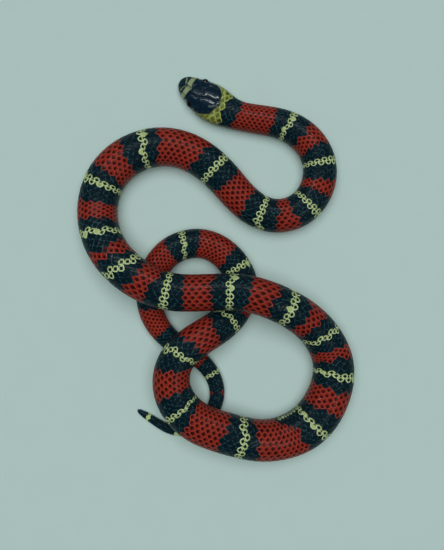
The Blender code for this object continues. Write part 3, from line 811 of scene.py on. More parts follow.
def head_relief(gaps, shape):
    """How far the head's skin stands off its outline, from sutures, mouth, eyes and nostrils."""
    relief = shape.shield_rise / MM * step_up(*SUTURE_SLOPE, gaps.suture)
    relief += shape.shield_dome / MM * step_up(*DOME_SLOPE, gaps.suture)
    relief -= shape.suture_depth / MM
    relief += ridge(gaps.mouth, -shape.mouth_depth / MM, 0.0, MOUTH_WIDTH)
    relief += ridge(gaps.mouth, *LIP_ROLL)
    relief += ridge(gaps.eye, *EYE_RIM)
    relief += ridge(gaps.eye, *EYE_GROOVE)
    relief = np.where(gaps.eye < -EYE_LAP, -EYE_HOLLOW, relief)
    relief += ridge(gaps.nostril, *NOSTRIL_RIM)
    return relief + ridge(gaps.nostril, *NOSTRIL_PIT)


def line_gap(back, signed, half_girth, line):
    """Distance over the skin from a bent line of distances back and signed turns."""
    gap = np.full_like(back, np.inf)
    for start, end in zip(line, line[1:]):
        along = np.stack((np.full_like(back, end[0] - start[0]),
                          (end[1] - start[1]) * half_girth), axis=-1)
        spot = np.stack((back - start[0], (signed - start[1]) * half_girth), axis=-1)
        part = np.clip((spot * along).sum(axis=1) / (along ** 2).sum(axis=1), 0.0, 1.0)
        gap = np.minimum(gap, np.linalg.norm(spot - part[:, None] * along, axis=1))
    return gap


def oval_gap(back, signed, oval):
    """Distance from an oval's middle, in shares of its half sizes."""
    (middle, middle_turn), (long, wide) = oval
    return np.hypot((back - middle) / long, (signed - middle_turn) / wide)


def snout_band(back, signed, half_girth, height):
    """The pale band over the snout, with the thin strips ahead of it and its gaps."""
    off = np.abs(back - read(SNOUT_BAND, signed))
    band = before(read(SNOUT_BAND_HALF, signed), BAND_SOFT, off)
    for line in SNOUT_STRIPS:
        gap = line_gap(back, signed, half_girth, line)
        band = np.maximum(band, STRIP_SHARE * before(STRIP_HALF, STRIP_SOFT, gap))
    band *= 1.0 - ridge(line_gap(back, signed, half_girth, NOTCH), *NOTCH_DEPTH)
    far = oval_gap(back, signed, BAND_SPOT)
    return band * (step_up(*BAND_FOOT, height) * (1.0 - ridge(far, *BAND_SPOT_DEPTH)))


def head_marks(outline, gaps, back, turn):
    """Colours of the head's skin: red, yellow, nape yellow, then pale and dark."""
    red, yellow, nuchal = ring_marks(back, turn, *HEAD_RINGS)
    height = outline.read_grid(outline.height, back, turn)
    signed = crown_turn(turn)
    half_girth = outline.girth(back) / 2.0
    band = snout_band(back, signed, half_girth, height)
    yellow = np.maximum(yellow, BAND_YELLOW * band)

    lip = read(MOUTH, back)
    lip_top = lip + np.interp(back, LIP_JOINTS, UPPER_LIP)
    lips = before(lip_top, LIP_SOFT, height) * step_up(*LIPS_START, back)
    chin = before(lip, CHIN_SOFT, height)
    loreal = step_up(*LOREAL_FRONT, back) * step_down(*LOREAL_REAR, back)
    loreal *= step_down(*LOREAL_TOP, height) * LOREAL_SHARE
    front = step_down(*PALE_END, back)
    pale = np.maximum.reduce((lips * LIPS_SHARE, chin, loreal, BAND_PALE * band)) * front
    for patch in CHEEK_PATCHES:
        far = oval_gap(back, signed, patch)
        pale = np.maximum(pale, PATCH_SHARE * step_down(*PATCH_EDGE, far))
    line, edges, share = CAP_MARK
    ripple = np.prod([np.sin(long * back + wide * signed) for long, wide in CAP_WAVES], axis=0)
    gap = line_gap(back, signed, half_girth, line) + CAP_RIPPLE * ripple
    pale = np.maximum(pale, share * step_down(*edges, gap))

    cheek = step_up(*CHEEK_START, back) * step_up(*CHEEK_TURN, np.abs(signed)) * front
    nuchal = np.maximum(nuchal * (1.0 - pale), cheek * (1.0 - chin) * (1.0 - red))
    pale = pale * (1.0 - nuchal)
    # The dark of the sutures is the skin's own; the dark in the nostrils and along the mouth is
    # painted shade.
    dark = np.maximum(step_down(*SUTURE_INK, gaps.suture) * SUTURE_SHARE,
                      ridge(gaps.nostril, *NOSTRIL_PAINTED_SHADE))
    dark = np.maximum(dark, ridge(gaps.mouth, *MOUTH_PAINTED_SHADE))
    return np.stack((red, yellow, nuchal), axis=-1), pale, dark


# The skin


def skin_turns():
    """Turns round the skin, close set on the flanks and back and wider under the belly."""
    belly = np.linspace(0.0, BELLY_QUARTER, BELLY_TURNS // 2 + 1)
    rest = np.linspace(BELLY_QUARTER, 1.0 - BELLY_QUARTER, SKIN_TURNS - BELLY_TURNS + 1)
    return np.concatenate((belly[:-1], rest, 1.0 - belly[::-1][1:-1]))


def skin_rows():
    """Distances back of the skin's rows, on the head and nape and then on body and tail."""
    def spread(start, end, step):
        return np.linspace(start, end, int((end - start) / step))

    head = (np.arange(SNOUT_START, SHIELDED, SHIELD_STEP),
            spread(SHIELDED, NECK_START, NAPE_STEP))
    body = (spread(NECK_START, TIP_START, SKIN_STEP)[1:], spread(TIP_START, TAIL_END, TIP_STEP)[1:])
    return np.concatenate(head), np.concatenate(body)


def grid_faces(first, rows, count):
    """Quads between rows of points that close round, numbered from a first point."""
    i = np.arange(rows - 1)[:, None] * count + first
    j = np.arange(count)[None, :]
    k = (j + 1) % count
    return np.stack((i + j, i + count + j, i + count + k, i + k), axis=-1).reshape(-1, 4)


def skin_faces(head_rows, body_rows, count):
    """Faces of a fine front part and a coarse rear part, closed by a fan at each end."""
    body_start = 1 + head_rows * SKIN_TURNS
    end = body_start + body_rows * count
    ring = np.arange(SKIN_TURNS)
    few = np.arange(count)
    following = (few + 1) % count
    fan = np.stack((0 * ring, 1 + ring, 1 + (ring + 1) % SKIN_TURNS), axis=-1)
    last = body_start - SKIN_TURNS
    fine = [last + (few + 1) * TURN_RATIO % SKIN_TURNS]
    fine += [last + few * TURN_RATIO + step for step in reversed(range(TURN_RATIO))]
    joint = np.stack((body_start + few, body_start + following, *fine), axis=-1)
    rear = end - count
    close = np.stack((rear + few, np.full_like(few, end), rear + following), axis=-1)
    return [fan, grid_faces(1, head_rows, SKIN_TURNS), joint,
            grid_faces(body_start, body_rows, count), close]


def snout_caps(outline, first):
    """Rings that close the snout in a low bulge from its pole to the first row."""
    ahead = -unit(outline.middle(np.array([REACH])) - outline.middle(np.array([0.0])))[0]
    centre = first.mean(axis=0)
    return [centre + (first - centre) * part + ahead * SNOUT_BULGE * (1.0 - part ** 2)
            for part in (0.0, *SNOUT_RINGS)]


def build_skin(outline, shape):
    """One closed skin from the snout to the tail tip, with the head's shields raised on it."""
    turns = skin_turns()
    coarse = turns[::TURN_RATIO]
    head_rows, body_rows = skin_rows()
    back, turn = grid_of(head_rows, turns)
    base = outline.place(back, turn, np.zeros_like(back))
    gaps = HeadLines(outline).gaps(base)
    border = read(SHIELDS_END, np.abs(crown_turn(turn)))
    under = step_up(border - 0.1, border + 0.4, back)
    out = head_relief(gaps, shape) * (1.0 - under) - read(DEPTH, back) * under
    head = outline.place(back, turn, out)
    marks, pale, dark = head_marks(outline, gaps, back, turn)
    caps = snout_caps(outline, head[:SKIN_TURNS])

    body_back, body_turn = grid_of(body_rows, coarse)
    body = outline.place(body_back, body_turn, -read(DEPTH, body_back))
    body_marks = np.stack(ring_marks(body_back, body_turn, *SKIN_RINGS), axis=-1)
    places = np.concatenate([caps[0][:1], *caps[1:], head, body,
                             body[-len(coarse):].mean(axis=0)[None, :]])
    places[:, 2] = np.maximum(places[:, 2], SKIN_FLOOR)
    groups = skin_faces(len(SNOUT_RINGS) + len(head_rows), len(body_rows), len(coarse))
    mesh, loops = make_mesh("skin", places, groups)

    head_start = 1 + len(SNOUT_RINGS) * SKIN_TURNS
    body_start = head_start + len(head)
    cap_marks = np.tile(marks[:SKIN_TURNS], (len(SNOUT_RINGS), 1))
    write_points(mesh, "marking", np.concatenate((marks[:1], cap_marks, marks,
                                                  body_marks, body_marks[-1:])))
    casts = np.zeros((len(places), 3))
    casts[head_start:body_start, 0] = pale
    casts[head_start:body_start, 1] = np.maximum(dark, HIDDEN_DARK * under)
    casts[body_start:, 1] = HIDDEN_DARK
    write_points(mesh, "cast", casts)
    write_points(mesh, "place", np.tile(SKIN_PLACE, (len(places), 1)))

    all_back = np.concatenate((np.zeros(head_start), back, body_back, [TAIL_END]))
    all_turn = np.concatenate(([0.5], np.tile(turns, len(SNOUT_RINGS)), turn, body_turn, [0.5]))
    write_unwrap(mesh, skin_unwrap(groups, loops, all_back, all_turn))
    return mesh


def skin_unwrap(groups, loops, all_back, all_turn):
    """Unwrapped places of every corner of the skin, with each face whole in one strip."""
    totals = np.concatenate([np.full(len(group), group.shape[1]) for group in groups])
    face = np.repeat(np.arange(len(totals)), totals)
    starts = np.append(0, np.cumsum(totals)[:-1])
    back, turn = all_back[loops], all_turn[loops]
    wide = (np.maximum.reduceat(turn, starts) - np.minimum.reduceat(turn, starts) > 0.5)[face]
    strip = strip_of(np.add.reduceat(back, starts) / totals)[face]
    spots = unwrap(back, np.where(wide & (turn < 0.5), 1.0, turn), strip)
    rings = len(SNOUT_RINGS)
    capped = np.logical_or.reduceat(loops <= rings * SKIN_TURNS, starts)[face]
    ring = np.maximum(loops - 1, 0) // SKIN_TURNS
    share = np.array((*SNOUT_RINGS, 1.0))[np.minimum(ring, rings)] * (loops > 0) * CAP_REACH
    angle = turn * 2.0 * math.pi
    (left, low) = CAP_SPOT
    cap = np.stack((left + share * np.sin(angle), low + share * np.cos(angle)), axis=-1)
    return np.where(capped[:, None], cap, spots)


# The scales and plates


def columns_table():
    """Distances back, then the count of columns of scales up to each."""
    back = np.arange(0.0, TAIL_END + 1.0, BODY_STEP)
    return back, np.append(0.0, np.cumsum(BODY_STEP / read(COLUMNS, back))[:-1])


def lay_pieces(name, places, faces, marks, pale, place, seats, spread):
    """One joined mesh of like pieces, each with its marks and its own patch of the unwrap.

    The patches lie at the pieces' roots on the skin's unwrap, and spread is a patch's shape.
    """
    count, points = places.shape[:2]
    places[..., 2] = np.maximum(places[..., 2], 0.0)
    step = (np.arange(count) * points)[:, None, None]
    groups = [(group[None] + step).reshape(-1, group.shape[1]) for group in faces]
    mesh, loops = make_mesh(name, places.reshape(-1, 3), groups)
    write_points(mesh, "marking", np.repeat(np.stack(marks, axis=-1), points, axis=0))
    write_points(mesh, "place", np.stack(np.broadcast_arrays(*place), axis=-1).reshape(-1, 3))
    cast = np.zeros((count * points, 3))
    cast[:, 0] = np.repeat(pale, points)
    write_points(mesh, "cast", cast)
    back = seats[:, 0]
    root = unwrap(back, np.mod(seats[:, 1], 1.0), strip_of(back))
    write_unwrap(mesh, (root[:, None] + spread[None] * PATCH).reshape(-1, 2)[loops])
    return mesh


def scale_template(shape):
    """The points of one scale: along, beside, height share and drop, with its faces.

    Along runs back in columns, and beside in half rows. The first faces close its underside,
    so that the upper ones lie over them on the unwrap.
    """
    corner = 2.0 * math.pi * np.arange(SCALE_CORNERS) / SCALE_CORNERS
    rear = np.cos(corner) >= -1e-9
    power = 2.0 / np.where(rear, REAR_POWER, FRONT_POWER)
    reach = np.where(rear, SCALE_REAR, SCALE_FRONT)
    along = reach * np.sign(np.cos(corner)) * np.abs(np.cos(corner)) ** power
    beside = np.sign(np.sin(corner)) * np.abs(np.sin(corner)) ** power
    drop = shape.edge_drop / MM
    rings = [(part, 0.0) for part in SCALE_RINGS[:-1]]
    rings += [(SCALE_RINGS[-1], -ROUNDED * drop), (1.0, -drop),
              (UNDER_SHARE, -shape.scale_thickness / MM)]
    points = [(0.0, 0.0, 1.0, 0.0)]
    for part, fall in rings:
        points += [(a * part, b * part, 1.0 - part ** 2, fall) for a, b in zip(along, beside)]
    k = np.arange(SCALE_CORNERS)
    n = (k + 1) % SCALE_CORNERS
    starts = [1 + m * SCALE_CORNERS for m in range(len(rings))]
    under = (starts[-1] + k[::-1])[None, :]
    quads = [np.stack((inner + k, outer + k, outer + n, inner + n), axis=-1)
             for inner, outer in reversed(list(zip(starts, starts[1:])))]
    fan = np.stack((0 * k, 1 + k, 1 + n), axis=-1)
    return np.array(points), [under, np.concatenate(quads), fan]


def scale_seats(start, end, count):
    """The scales of one stretch: distance back, turn, column length, row share, row, rows."""
    back_of, column_of = columns_table()
    first, last = np.interp((start, end), back_of, column_of)
    seats = []
    for row in range(count):
        shift = 0.5 * (row % 2)
        columns = np.arange(math.ceil(first - shift), last - shift) + shift
        back = np.interp(columns, column_of, back_of)
        low = read(BELLY_SHARE, back) - ROW_TUCK / count
        share = (1.0 - 2.0 * low) / count
        seats.append(np.stack((back, low + (row + 0.5) * share, read(COLUMNS, back), share,
                               np.full_like(back, row), np.full_like(back, count)), axis=-1))
    return np.concatenate(seats)


def all_seats():
    """Every scale's seat on the nape, body and tail, from front to rear."""
    starts = (FIRST_SEAT, *(end for end, _ in ROWS))
    seats = np.concatenate([scale_seats(start, end, count)
                            for start, (end, count) in zip(starts, ROWS)])
    border = read(SHIELDS_END, np.abs(crown_turn(seats[:, 1])))
    seats = seats[seats[:, 0] > border + BORDER_ROOM * seats[:, 2]]
    return seats[np.argsort(seats[:, 0], kind="stable")]


def seat_marks(seats, draws):
    """Colour shares and paleness of every scale."""
    back, turn, length, _, row, rows = seats.T
    centre = back + SCALE_CENTRE * length
    shifted = centre + EDGE_JITTER * length * draws[:, 0]
    red, _, nuchal = ring_marks(shifted, turn, *SCALE_MARKS)
    yellow = np.zeros_like(back)
    wide = np.where(back > SOLID_RINGS, *RING_HALVES) * length
    for _, middle, _ in RINGS:
        off = centre - edge_of(middle, turn)
        yellow = np.maximum(yellow, (off >= -wide) & (off < wide))
    (first, last), (low, high) = FLANK_STREAK
    yellow = np.maximum(yellow, (back > first) & (back < last) & (turn > low) & (turn < high))
    nuchal = nuchal * (back < NAPE_END)
    up = np.minimum(row, rows - 1.0 - row) * ROWS[1][1] / rows
    pale = np.where(back < THROAT_END, read(THROAT_PALE, up), read(FLANK_PALE, up))
    least, more = PALE_JITTER
    pale = pale * (1.0 - YELLOW_HOLD * yellow) * (1.0 - nuchal) * (least + more * draws[:, 1])
    return (red * (1.0 - yellow), yellow, nuchal), pale


def build_scales(outline, shape, name, seats, draws):
    """One joined mesh of scales, each a thin domed plate bent to the body."""
    template, faces = scale_template(shape)
    along, beside, dome, drop = template.T[:, None]
    far, aside, up = (limit * draws[:, i:i + 1] for i, limit in enumerate(SEAT_JITTER, 2))
    back = seats[:, 0:1] + (along + far) * seats[:, 2:3]
    turn = seats[:, 1:2] + (beside * SCALE_HALF + aside) * seats[:, 3:4]
    part = (along + SCALE_FRONT) / (SCALE_FRONT + SCALE_REAR)
    rise = -shape.root_depth / MM + (shape.root_depth - shape.tip_depth) / MM * part
    rise = rise + shape.scale_dome / MM * dome + drop + up * part
    size = read(DEPTH, seats[:, 0])[:, None] / DEPTH[0][1]
    tone = (0.5 + 0.5 * draws[:, 5:6]) * (seats[:, 0:1] < SOLID_RINGS)
    spread = np.stack((template[:, 0] / (SCALE_FRONT + SCALE_REAR), template[:, 1] / 2.0), -1)
    return lay_pieces(name, outline.place(back, turn, rise * size), faces,
                      *seat_marks(seats, draws), (along, beside, tone), seats, spread)


def plate_template():
    """A wide plate as a grid: beside from -1 to 1, along from front to rear, with its faces."""
    part, side = grid_of(np.linspace(0.0, 1.0, PLATE_ALONG), np.linspace(-1.0, 1.0, PLATE_ACROSS))
    grid = PLATE_ALONG * PLATE_ACROSS
    top = np.arange(grid).reshape(PLATE_ALONG, PLATE_ACROSS)
    quads = np.stack((top[:-1, :-1], top[1:, :-1], top[1:, 1:], top[:-1, 1:]), -1).reshape(-1, 4)
    rim = np.concatenate((top[0], top[1:, -1], top[-1, -2::-1], top[-2:0:-1, 0]))
    after = np.roll(rim, -1)
    walls = np.stack((rim, after, after + grid, rim + grid), axis=-1)
    return side, part, np.concatenate((quads[:, ::-1] + grid, walls, quads))


def plate_seats():
    """Belly plates and paired plates of the tail: back, middle turn, half width, length."""
    back_of, column_of = columns_table()
    first, vent, last = np.interp((PLATES_START, VENT, TAIL_END - PLATES_SHORT), back_of, column_of)
    seats = []
    for start, end, sign in ((first, vent, 0.0), (vent, last, 1.0), (vent, last, -1.0)):
        columns = np.arange(math.ceil(start), end) + (0.5 if sign < 0.0 else 0.0)
        back = np.interp(columns, column_of, back_of)
        half = (read(BELLY_SHARE, back) + PLATE_OVERHANG) / (2.0 if sign else 1.0)
        seats.append(np.stack((back, sign * half * PAIR_OFFSET, half, read(COLUMNS, back)), -1))
    return np.concatenate(seats)


def build_plates(outline, shape):
    """The wide plates under the belly, and the pairs under the tail, in one joined mesh."""
    side, part, faces = plate_template()
    seats = plate_seats()
    draws = np.random.default_rng(SEED + 1).uniform(-1.0, 1.0, (len(seats), 3))
    lower = np.repeat((0.0, 1.0), len(side))
    side = np.concatenate((side, side * PLATE_UNDER))
    part = np.concatenate((part, PLATE_INSET[0] + part * PLATE_INSET[1]))
    reach = PLATE_FRONT + PLATE_REAR - PLATE_CORNER * np.abs(side) ** 6
    back = seats[:, 0:1] + (-PLATE_FRONT + reach * part)[None] * seats[:, 3:4]
    turn = seats[:, 1:2] + side[None] * seats[:, 2:3]
    size = read(DEPTH, seats[:, 0])[:, None] / DEPTH[0][1]
    rise = -shape.root_depth / MM + (shape.root_depth - PLATE_TIP * MM) / MM * part
    rise = rise - PLATE_TUCK * np.abs(side) ** 8 - lower * shape.scale_thickness / MM
    shifted = seats[:, 0] + PLATE_JITTER * draws[:, 0]
    red, yellow, _ = ring_marks(shifted, np.zeros(len(seats)), *PLATE_RINGS)
    pale = PLATE_PALE[0] + PLATE_PALE[1] * red + PLATE_PALE[2] * draws[:, 1]
    pale = np.where(seats[:, 0] < NAPE_END, THROAT_PLATE, pale)
    place = ((part * PLATE_PLACE[0] - PLATE_PLACE[1])[None], side[None],
             PLATE_TONE[0] + PLATE_TONE[1] * draws[:, 2:3])
    return lay_pieces("belly_plates", outline.place(back, turn, rise[None] * size), [faces],
                      (red, yellow, 0.0 * red), pale, place, seats,
                      np.stack((part - 0.5, side * 0.5), axis=-1))


# Materials


class Value:
    """A value in a node tree, on which sums and products add the nodes they need."""

    def __init__(self, tree, socket):
        self.tree = tree
        self.socket = socket

    def node(self, kind, values, output=0, **options):
        """The output of a new node whose inputs take values by their number or name."""
        made = self.tree.nodes.new(kind)
        for option, chosen in options.items():
            setattr(made, option, chosen)
        for place, value in values.items():
            feed(made.inputs[place], value)
        return Value(self.tree, made.outputs[output])

    def maths(self, operation, *values):
        return self.node("ShaderNodeMath", dict(enumerate(values)), operation=operation)

    def __add__(self, other):
        return self.maths("ADD", self, other)

    def __sub__(self, other):
        return self.maths("SUBTRACT", self, other)

    def __rsub__(self, other):
        return self.maths("SUBTRACT", other, self)

    def __mul__(self, other):
        return self.maths("MULTIPLY", self, other)

    def __truediv__(self, other):
        return self.maths("DIVIDE", self, other)

    def __pow__(self, other):
        return self.maths("POWER", self, other)

    def __abs__(self):
        return self.maths("ABSOLUTE", self)

    def smooth(self, start, end, low=0.0, high=1.0):
        """A smooth way from low to high as the value goes from start to end."""
        values = dict(enumerate((self, start, end, low, high)))
        return self.node("ShaderNodeMapRange", values, interpolation_type="SMOOTHSTEP")

    def blend(self, first, second):
        """The first colour where the value is 0, and the second where it is 1."""
        return self.node("ShaderNodeMix", {0: self, 6: first, 7: second}, 2, data_type="RGBA")

    def noise(self, scale, detail=2.0):
        """Noise at a place."""
        return self.node("ShaderNodeTexNoise", {"Vector": self, "Scale": scale, "Detail": detail},
                         "Fac")

    def split(self):
        node = self.node("ShaderNodeSeparateXYZ", {0: self}).socket.node
        return [Value(self.tree, socket) for socket in node.outputs]


def feed(socket, value):
    if isinstance(value, Value):
        value.tree.links.new(value.socket, socket)
    else:
        socket.default_value = value


def new_group(name, vectors, floats, colours, outputs):
    """A shader node group: its tree, its inputs as values by name, and its output node."""
    tree = bpy.data.node_groups.new(name, "ShaderNodeTree")
    kinds = (("Vector", vectors), ("Float", floats), ("Color", colours))
    for kind, labels in kinds:
        for label in labels:
            tree.interface.new_socket(label, in_out="INPUT", socket_type=f"NodeSocket{kind}")
    for label, kind in outputs:
        tree.interface.new_socket(label, in_out="OUTPUT", socket_type=kind)
    given = tree.nodes.new("NodeGroupInput").outputs
    return {socket.name: Value(tree, socket) for socket in given}, tree.nodes.new("NodeGroupOutput")


def ring_group():
    """The colour of a scale, from its ring and from the place inside it.

    Along and beside are the place's own numbers, as far as the edge at about 1.
    """
    value, made = new_group("ring_colours", ("Marking", "Place", "Cast", "Position"), (), PALETTE,
                            [("Colour", "NodeSocketColor")])
    red, yellow, nuchal = value["Marking"].split()
    along, beside, tone = value["Place"].split()
    pale, dark, _ = value["Cast"].split()
    position = value["Position"]
    ragged = (position.noise(RAGGED_NOISE) - 0.5) * RAGGED

    middle, long, wide = SPOT
    spread = abs((along - middle) / long) ** SPOT_POWER + abs(beside / wide) ** SPOT_POWER + ragged
    grow, least = SPOT_SIZE
    spot = 1.0 - (spread / (tone * grow + least)).smooth(*SPOT_FADE)
    rim = abs(along / RIM_LENGTH) + abs(beside) + ragged
    edge = rim.smooth(*RIM_FADE)
    lit_red = edge.blend(value["Red"], value["Red Edge"])
    lit_red = (spot * SPOT_SHARE).blend(lit_red, value["Spot"])
    # Black scales: their edge colour shows only in noise specks. These are partly lighter scale
    # edges and partly painted glints.
    glint_specks = position.noise(GLINT_SPECK_NOISE, 1.0).smooth(*GLINT_SPECK_FADE)
    lit_black = (edge * glint_specks).blend(value["Black"], value["Black Edge Glint"])

    middle, long, wide = HOLE
    reach = abs(along - middle)
    hole = (reach / long + abs(beside / wide) + ragged).smooth(*HOLE_FADE)
    hole = hole * tone.smooth(*HOLE_TONE)
    lit_yellow = hole.blend(edge.blend(value["Yellow"], value["Yellow Edge"]), value["Black"])
    band = (reach + ragged * BAND_RAGGED).smooth(*BAND_FADE)
    band = band.maths("MAXIMUM", band, tone.smooth(*SOLID_TONE))

    olive = 1.0 - rim.smooth(*OLIVE_FADE)
    blot = spot * tone.smooth(*BLOT_TONE)
    lit_nape = blot.blend(olive.blend(value["Nape Edge"], value["Olive"]), value["Spot"])

    colour = nuchal.blend(red.blend(lit_black, lit_red), lit_nape)
    colour = (yellow * band).blend(colour, lit_yellow)
    patchy = position.noise(PATCH_NOISE).smooth(*PALE_FADE)
    colour = (pale * patchy).blend(colour, value["Pale"])
    # The dark share pulls towards black: the sutures, the painted shade in the mouth and nostrils,
    # and the skin under the scales.
    colour = (dark * DARK_SHARE).blend(colour, value["Black"])
    feed(made.inputs["Colour"], colour)
    return made.id_data


def finish_group():
    """Roughness and height of the fine grain that skin, scales and plates share."""
    value, made = new_group("scale_finish", ("Position", "Place"), ("Smooth", "Worn", "Wave"), (),
                            [("Roughness", "NodeSocketFloat"), ("Height", "NodeSocketFloat")])
    position = value["Position"]
    _, beside, _ = value["Place"].split()
    pace, tall = STREAKS
    streak = beside.maths("SINE", beside * pace)
    share = position.noise(WEAR_NOISE, 3.0).smooth(*WEAR_FADE)
    feed(made.inputs["Roughness"], value["Smooth"] + (value["Worn"] - value["Smooth"]) * share)
    wave = position.noise(WAVE_NOISE, 1.0) * value["Wave"]
    height = streak * tall + position.noise(GRAIN_NOISE) + wave
    feed(made.inputs["Height"], height)
    return made.id_data


def new_material(name, **constants):
    """A material with its shader's inputs, and some of them set to constants."""
    shade = bpy.data.materials.new(name)
    shade.use_nodes = True
    inputs = shade.node_tree.nodes["Principled BSDF"].inputs
    for label, value in constants.items():
        inputs[label.replace("_", " ")].default_value = value
    return shade, inputs


def new_value(tree, kind, output, **options):
    """The output of a new node that takes no values."""
    return Value(tree, None).node(kind, {}, output, **options)


def coat_material(name, colours, black):
    """A satin reptile finish in the rings' colours, with fine grain and soft waves."""
    smooth, worn, grain, wave, sheen, coat, coat_rough = FINISHES[name]
    shade, shader = new_material(name, Specular_IOR_Level=sheen, Coat_Weight=coat,
                                 Coat_Roughness=coat_rough)
    tree = shade.node_tree
    position = new_value(tree, "ShaderNodeTexCoord", "Object")
    marking, place, cast = (new_value(tree, "ShaderNodeAttribute", "Vector", attribute_name=label)
                            for label in ("marking", "place", "cast"))
    rings = {"Marking": marking, "Place": place, "Cast": cast, "Position": position}
    for label in PALETTE:
        own = getattr(colours, label.lower().replace(" ", "_"))
        rings[label] = (*(black if label == "Black" else own), 1.0)
    kept = bpy.data.node_groups
    ring_tree = kept.get("ring_colours") or ring_group()
    finish_tree = kept.get("scale_finish") or finish_group()
    colour = position.node("ShaderNodeGroup", {}, "Colour", node_tree=ring_tree)
    finish = position.node("ShaderNodeGroup", {}, "Height", node_tree=finish_tree)
    given = {"Position": position, "Place": place, "Smooth": smooth, "Worn": worn, "Wave": wave}
    for group, values in ((colour, rings), (finish, given)):
        for label, value in values.items():
            feed(group.socket.node.inputs[label], value)
    feed(shader["Base Color"], colour)
    feed(shader["Roughness"], Value(tree, finish.socket.node.outputs["Roughness"]))
    bump = {"Strength": grain, "Distance": GRAIN_DEPTH, "Height": finish}
    feed(shader["Normal"], position.node("ShaderNodeBump", bump, "Normal"))
    return shade


def eye_material(colours, outline):
    """A dark glossy eye with a round pupil and a deep brown iris, facing sideways."""
    shade, shader = new_material("eye_clear", Roughness=0.12, Specular_IOR_Level=0.2,
                                 Coat_Weight=0.5, Coat_Roughness=0.03)
    tree = shade.node_tree
    _, across, _ = outline.frame(np.array([EYE_BACK]))
    normal = new_value(tree, "ShaderNodeTexCoord", "Normal")
    turned = abs(normal.node("ShaderNodeVectorMath", {0: normal, 1: across[0]}, "Value",
                             operation="DOT_PRODUCT"))
    flecks = new_value(tree, "ShaderNodeTexCoord", "Object").noise(FLECK_NOISE)
    iris, fleck, pupil = ((*colour, 1.0)
                          for colour in (colours.iris, colours.iris_fleck, colours.pupil))
    colour = turned.smooth(*PUPIL_EDGE).blend(flecks.blend(iris, fleck), pupil)
    feed(shader["Base Color"], turned.smooth(*IRIS_END).blend(colour, pupil))
    return shade


def floor_material(stage):
    """A plain pale matt ground with the faintest grain."""
    shade, shader = new_material("pale_floor", Roughness=0.75, Specular_IOR_Level=0.25)
    grain = new_value(shade.node_tree, "ShaderNodeTexCoord", "Object").noise(90.0, 3.0)
    base = tuple(stage.floor_colour)
    lighter = tuple(min(1.0, part * 1.03) for part in base)
    feed(shader["Base Color"], grain.blend((*base, 1.0), (*lighter, 1.0)))
    return shade


# Settings, operators and panel


def colour_setting(name, description, default):
    return bpy.props.FloatVectorProperty(name=name, description=description, default=default,
                                         size=3, min=0.0, max=1.0, subtype="COLOR")


def length_setting(name, description, default):
    return bpy.props.FloatProperty(name=name, description=description, default=default,
                                   min=0.0, subtype="DISTANCE", unit="LENGTH", precision=6)


def strength_setting(name, description, default, subtype="NONE"):
    return bpy.props.FloatProperty(name=name, description=description, default=default,
                                   min=0.0, subtype=subtype)


class SnakeColours(bpy.types.PropertyGroup):
    """Colours of the rings, the head and the eyes."""

    red: colour_setting("Red", "Middle of a red scale", (0.31, 0.022, 0.012))
    red_edge: colour_setting("Red edge", "Edge of a red scale", (0.43, 0.056, 0.033))
    spot: colour_setting("Spot", "Dark spot in a red scale", (0.016, 0.003, 0.004))
    black: colour_setting("Black", "Middle of a black scale", (0.002, 0.012, 0.02))
    cap: colour_setting("Cap", "Shields of the head", (0.0015, 0.014, 0.032))
    # Black edge: the lighter edge colour of a black scale, shown in specks that are also painted
    # glints.
    black_edge_glint: colour_setting("Black edge", "Edge of a black scale", (0.028, 0.1, 0.11))
    yellow: colour_setting("Yellow", "Middle of a yellow scale", (0.54, 0.64, 0.25))
    yellow_edge: colour_setting("Yellow edge", "Edge of a yellow scale", (0.7, 0.84, 0.45))
    olive: colour_setting("Olive", "Middle of a nape scale", (0.17, 0.19, 0.04))
    nape_edge: colour_setting("Nape edge", "Edge of a nape scale", (0.42, 0.5, 0.12))
    pale: colour_setting("Pale", "Lips, chin and lower flanks", (0.36, 0.44, 0.36))
    iris: colour_setting("Iris", "Ring of the eye", (0.008, 0.005, 0.004))
    iris_fleck: colour_setting("Iris fleck", "Lighter flecks of the eye", (0.02, 0.01, 0.007))
    pupil: colour_setting("Pupil", "Middle of the eye", (0.002, 0.002, 0.003))


class SnakeShape(bpy.types.PropertyGroup):
    """Sizes of the scales and of the head's relief."""

    root_depth: length_setting("Root depth", "Depth of a scale's root", 0.00024)
    tip_depth: length_setting("Tip depth", "Depth of a scale's free tip", 0.00004)
    scale_dome: length_setting("Scale dome", "Rise in the middle of a scale", 0.0001)
    scale_thickness: length_setting("Scale thickness", "Thickness of a scale", 0.00012)
    edge_drop: length_setting("Edge drop", "Fall of a scale's rounded edge", 0.00004)
    shield_rise: length_setting("Shield rise", "Step from a suture to a shield", 0.0001)
    shield_dome: length_setting("Shield dome", "Swell in the middle of a shield", 0.00008)
    suture_depth: length_setting("Suture depth", "Depth of a suture", 0.00009)
    mouth_depth: length_setting("Mouth depth", "Depth of the mouth line", 0.0003)


class SnakeStage(bpy.types.PropertyGroup):
    """The floor, the lamps and the camera."""

    floor_colour: colour_setting("Floor", "Pale ground", (0.66, 0.83, 0.79))
    floor_size: length_setting("Floor size", "Width of the ground", 4.0)
    camera_height: length_setting("Camera height", "Height of the camera", 0.3365)
    view_height: length_setting("View height", "Height of the view at the animal", 0.209)
    sky_strength: strength_setting("Sky", "Strength of the sky", 0.08)
    backdrop: strength_setting("Backdrop", "Brightness of the sky behind", 0.4)
    soft_strength: strength_setting("Soft light", "Strength of the soft light", 1.7)
    glint_power: strength_setting("Glints", "Power of the narrow lamps", 1.5, "POWER")


def settings():
    scene = bpy.context.scene
    return scene.snake_colours, scene.snake_shape, scene.snake_stage


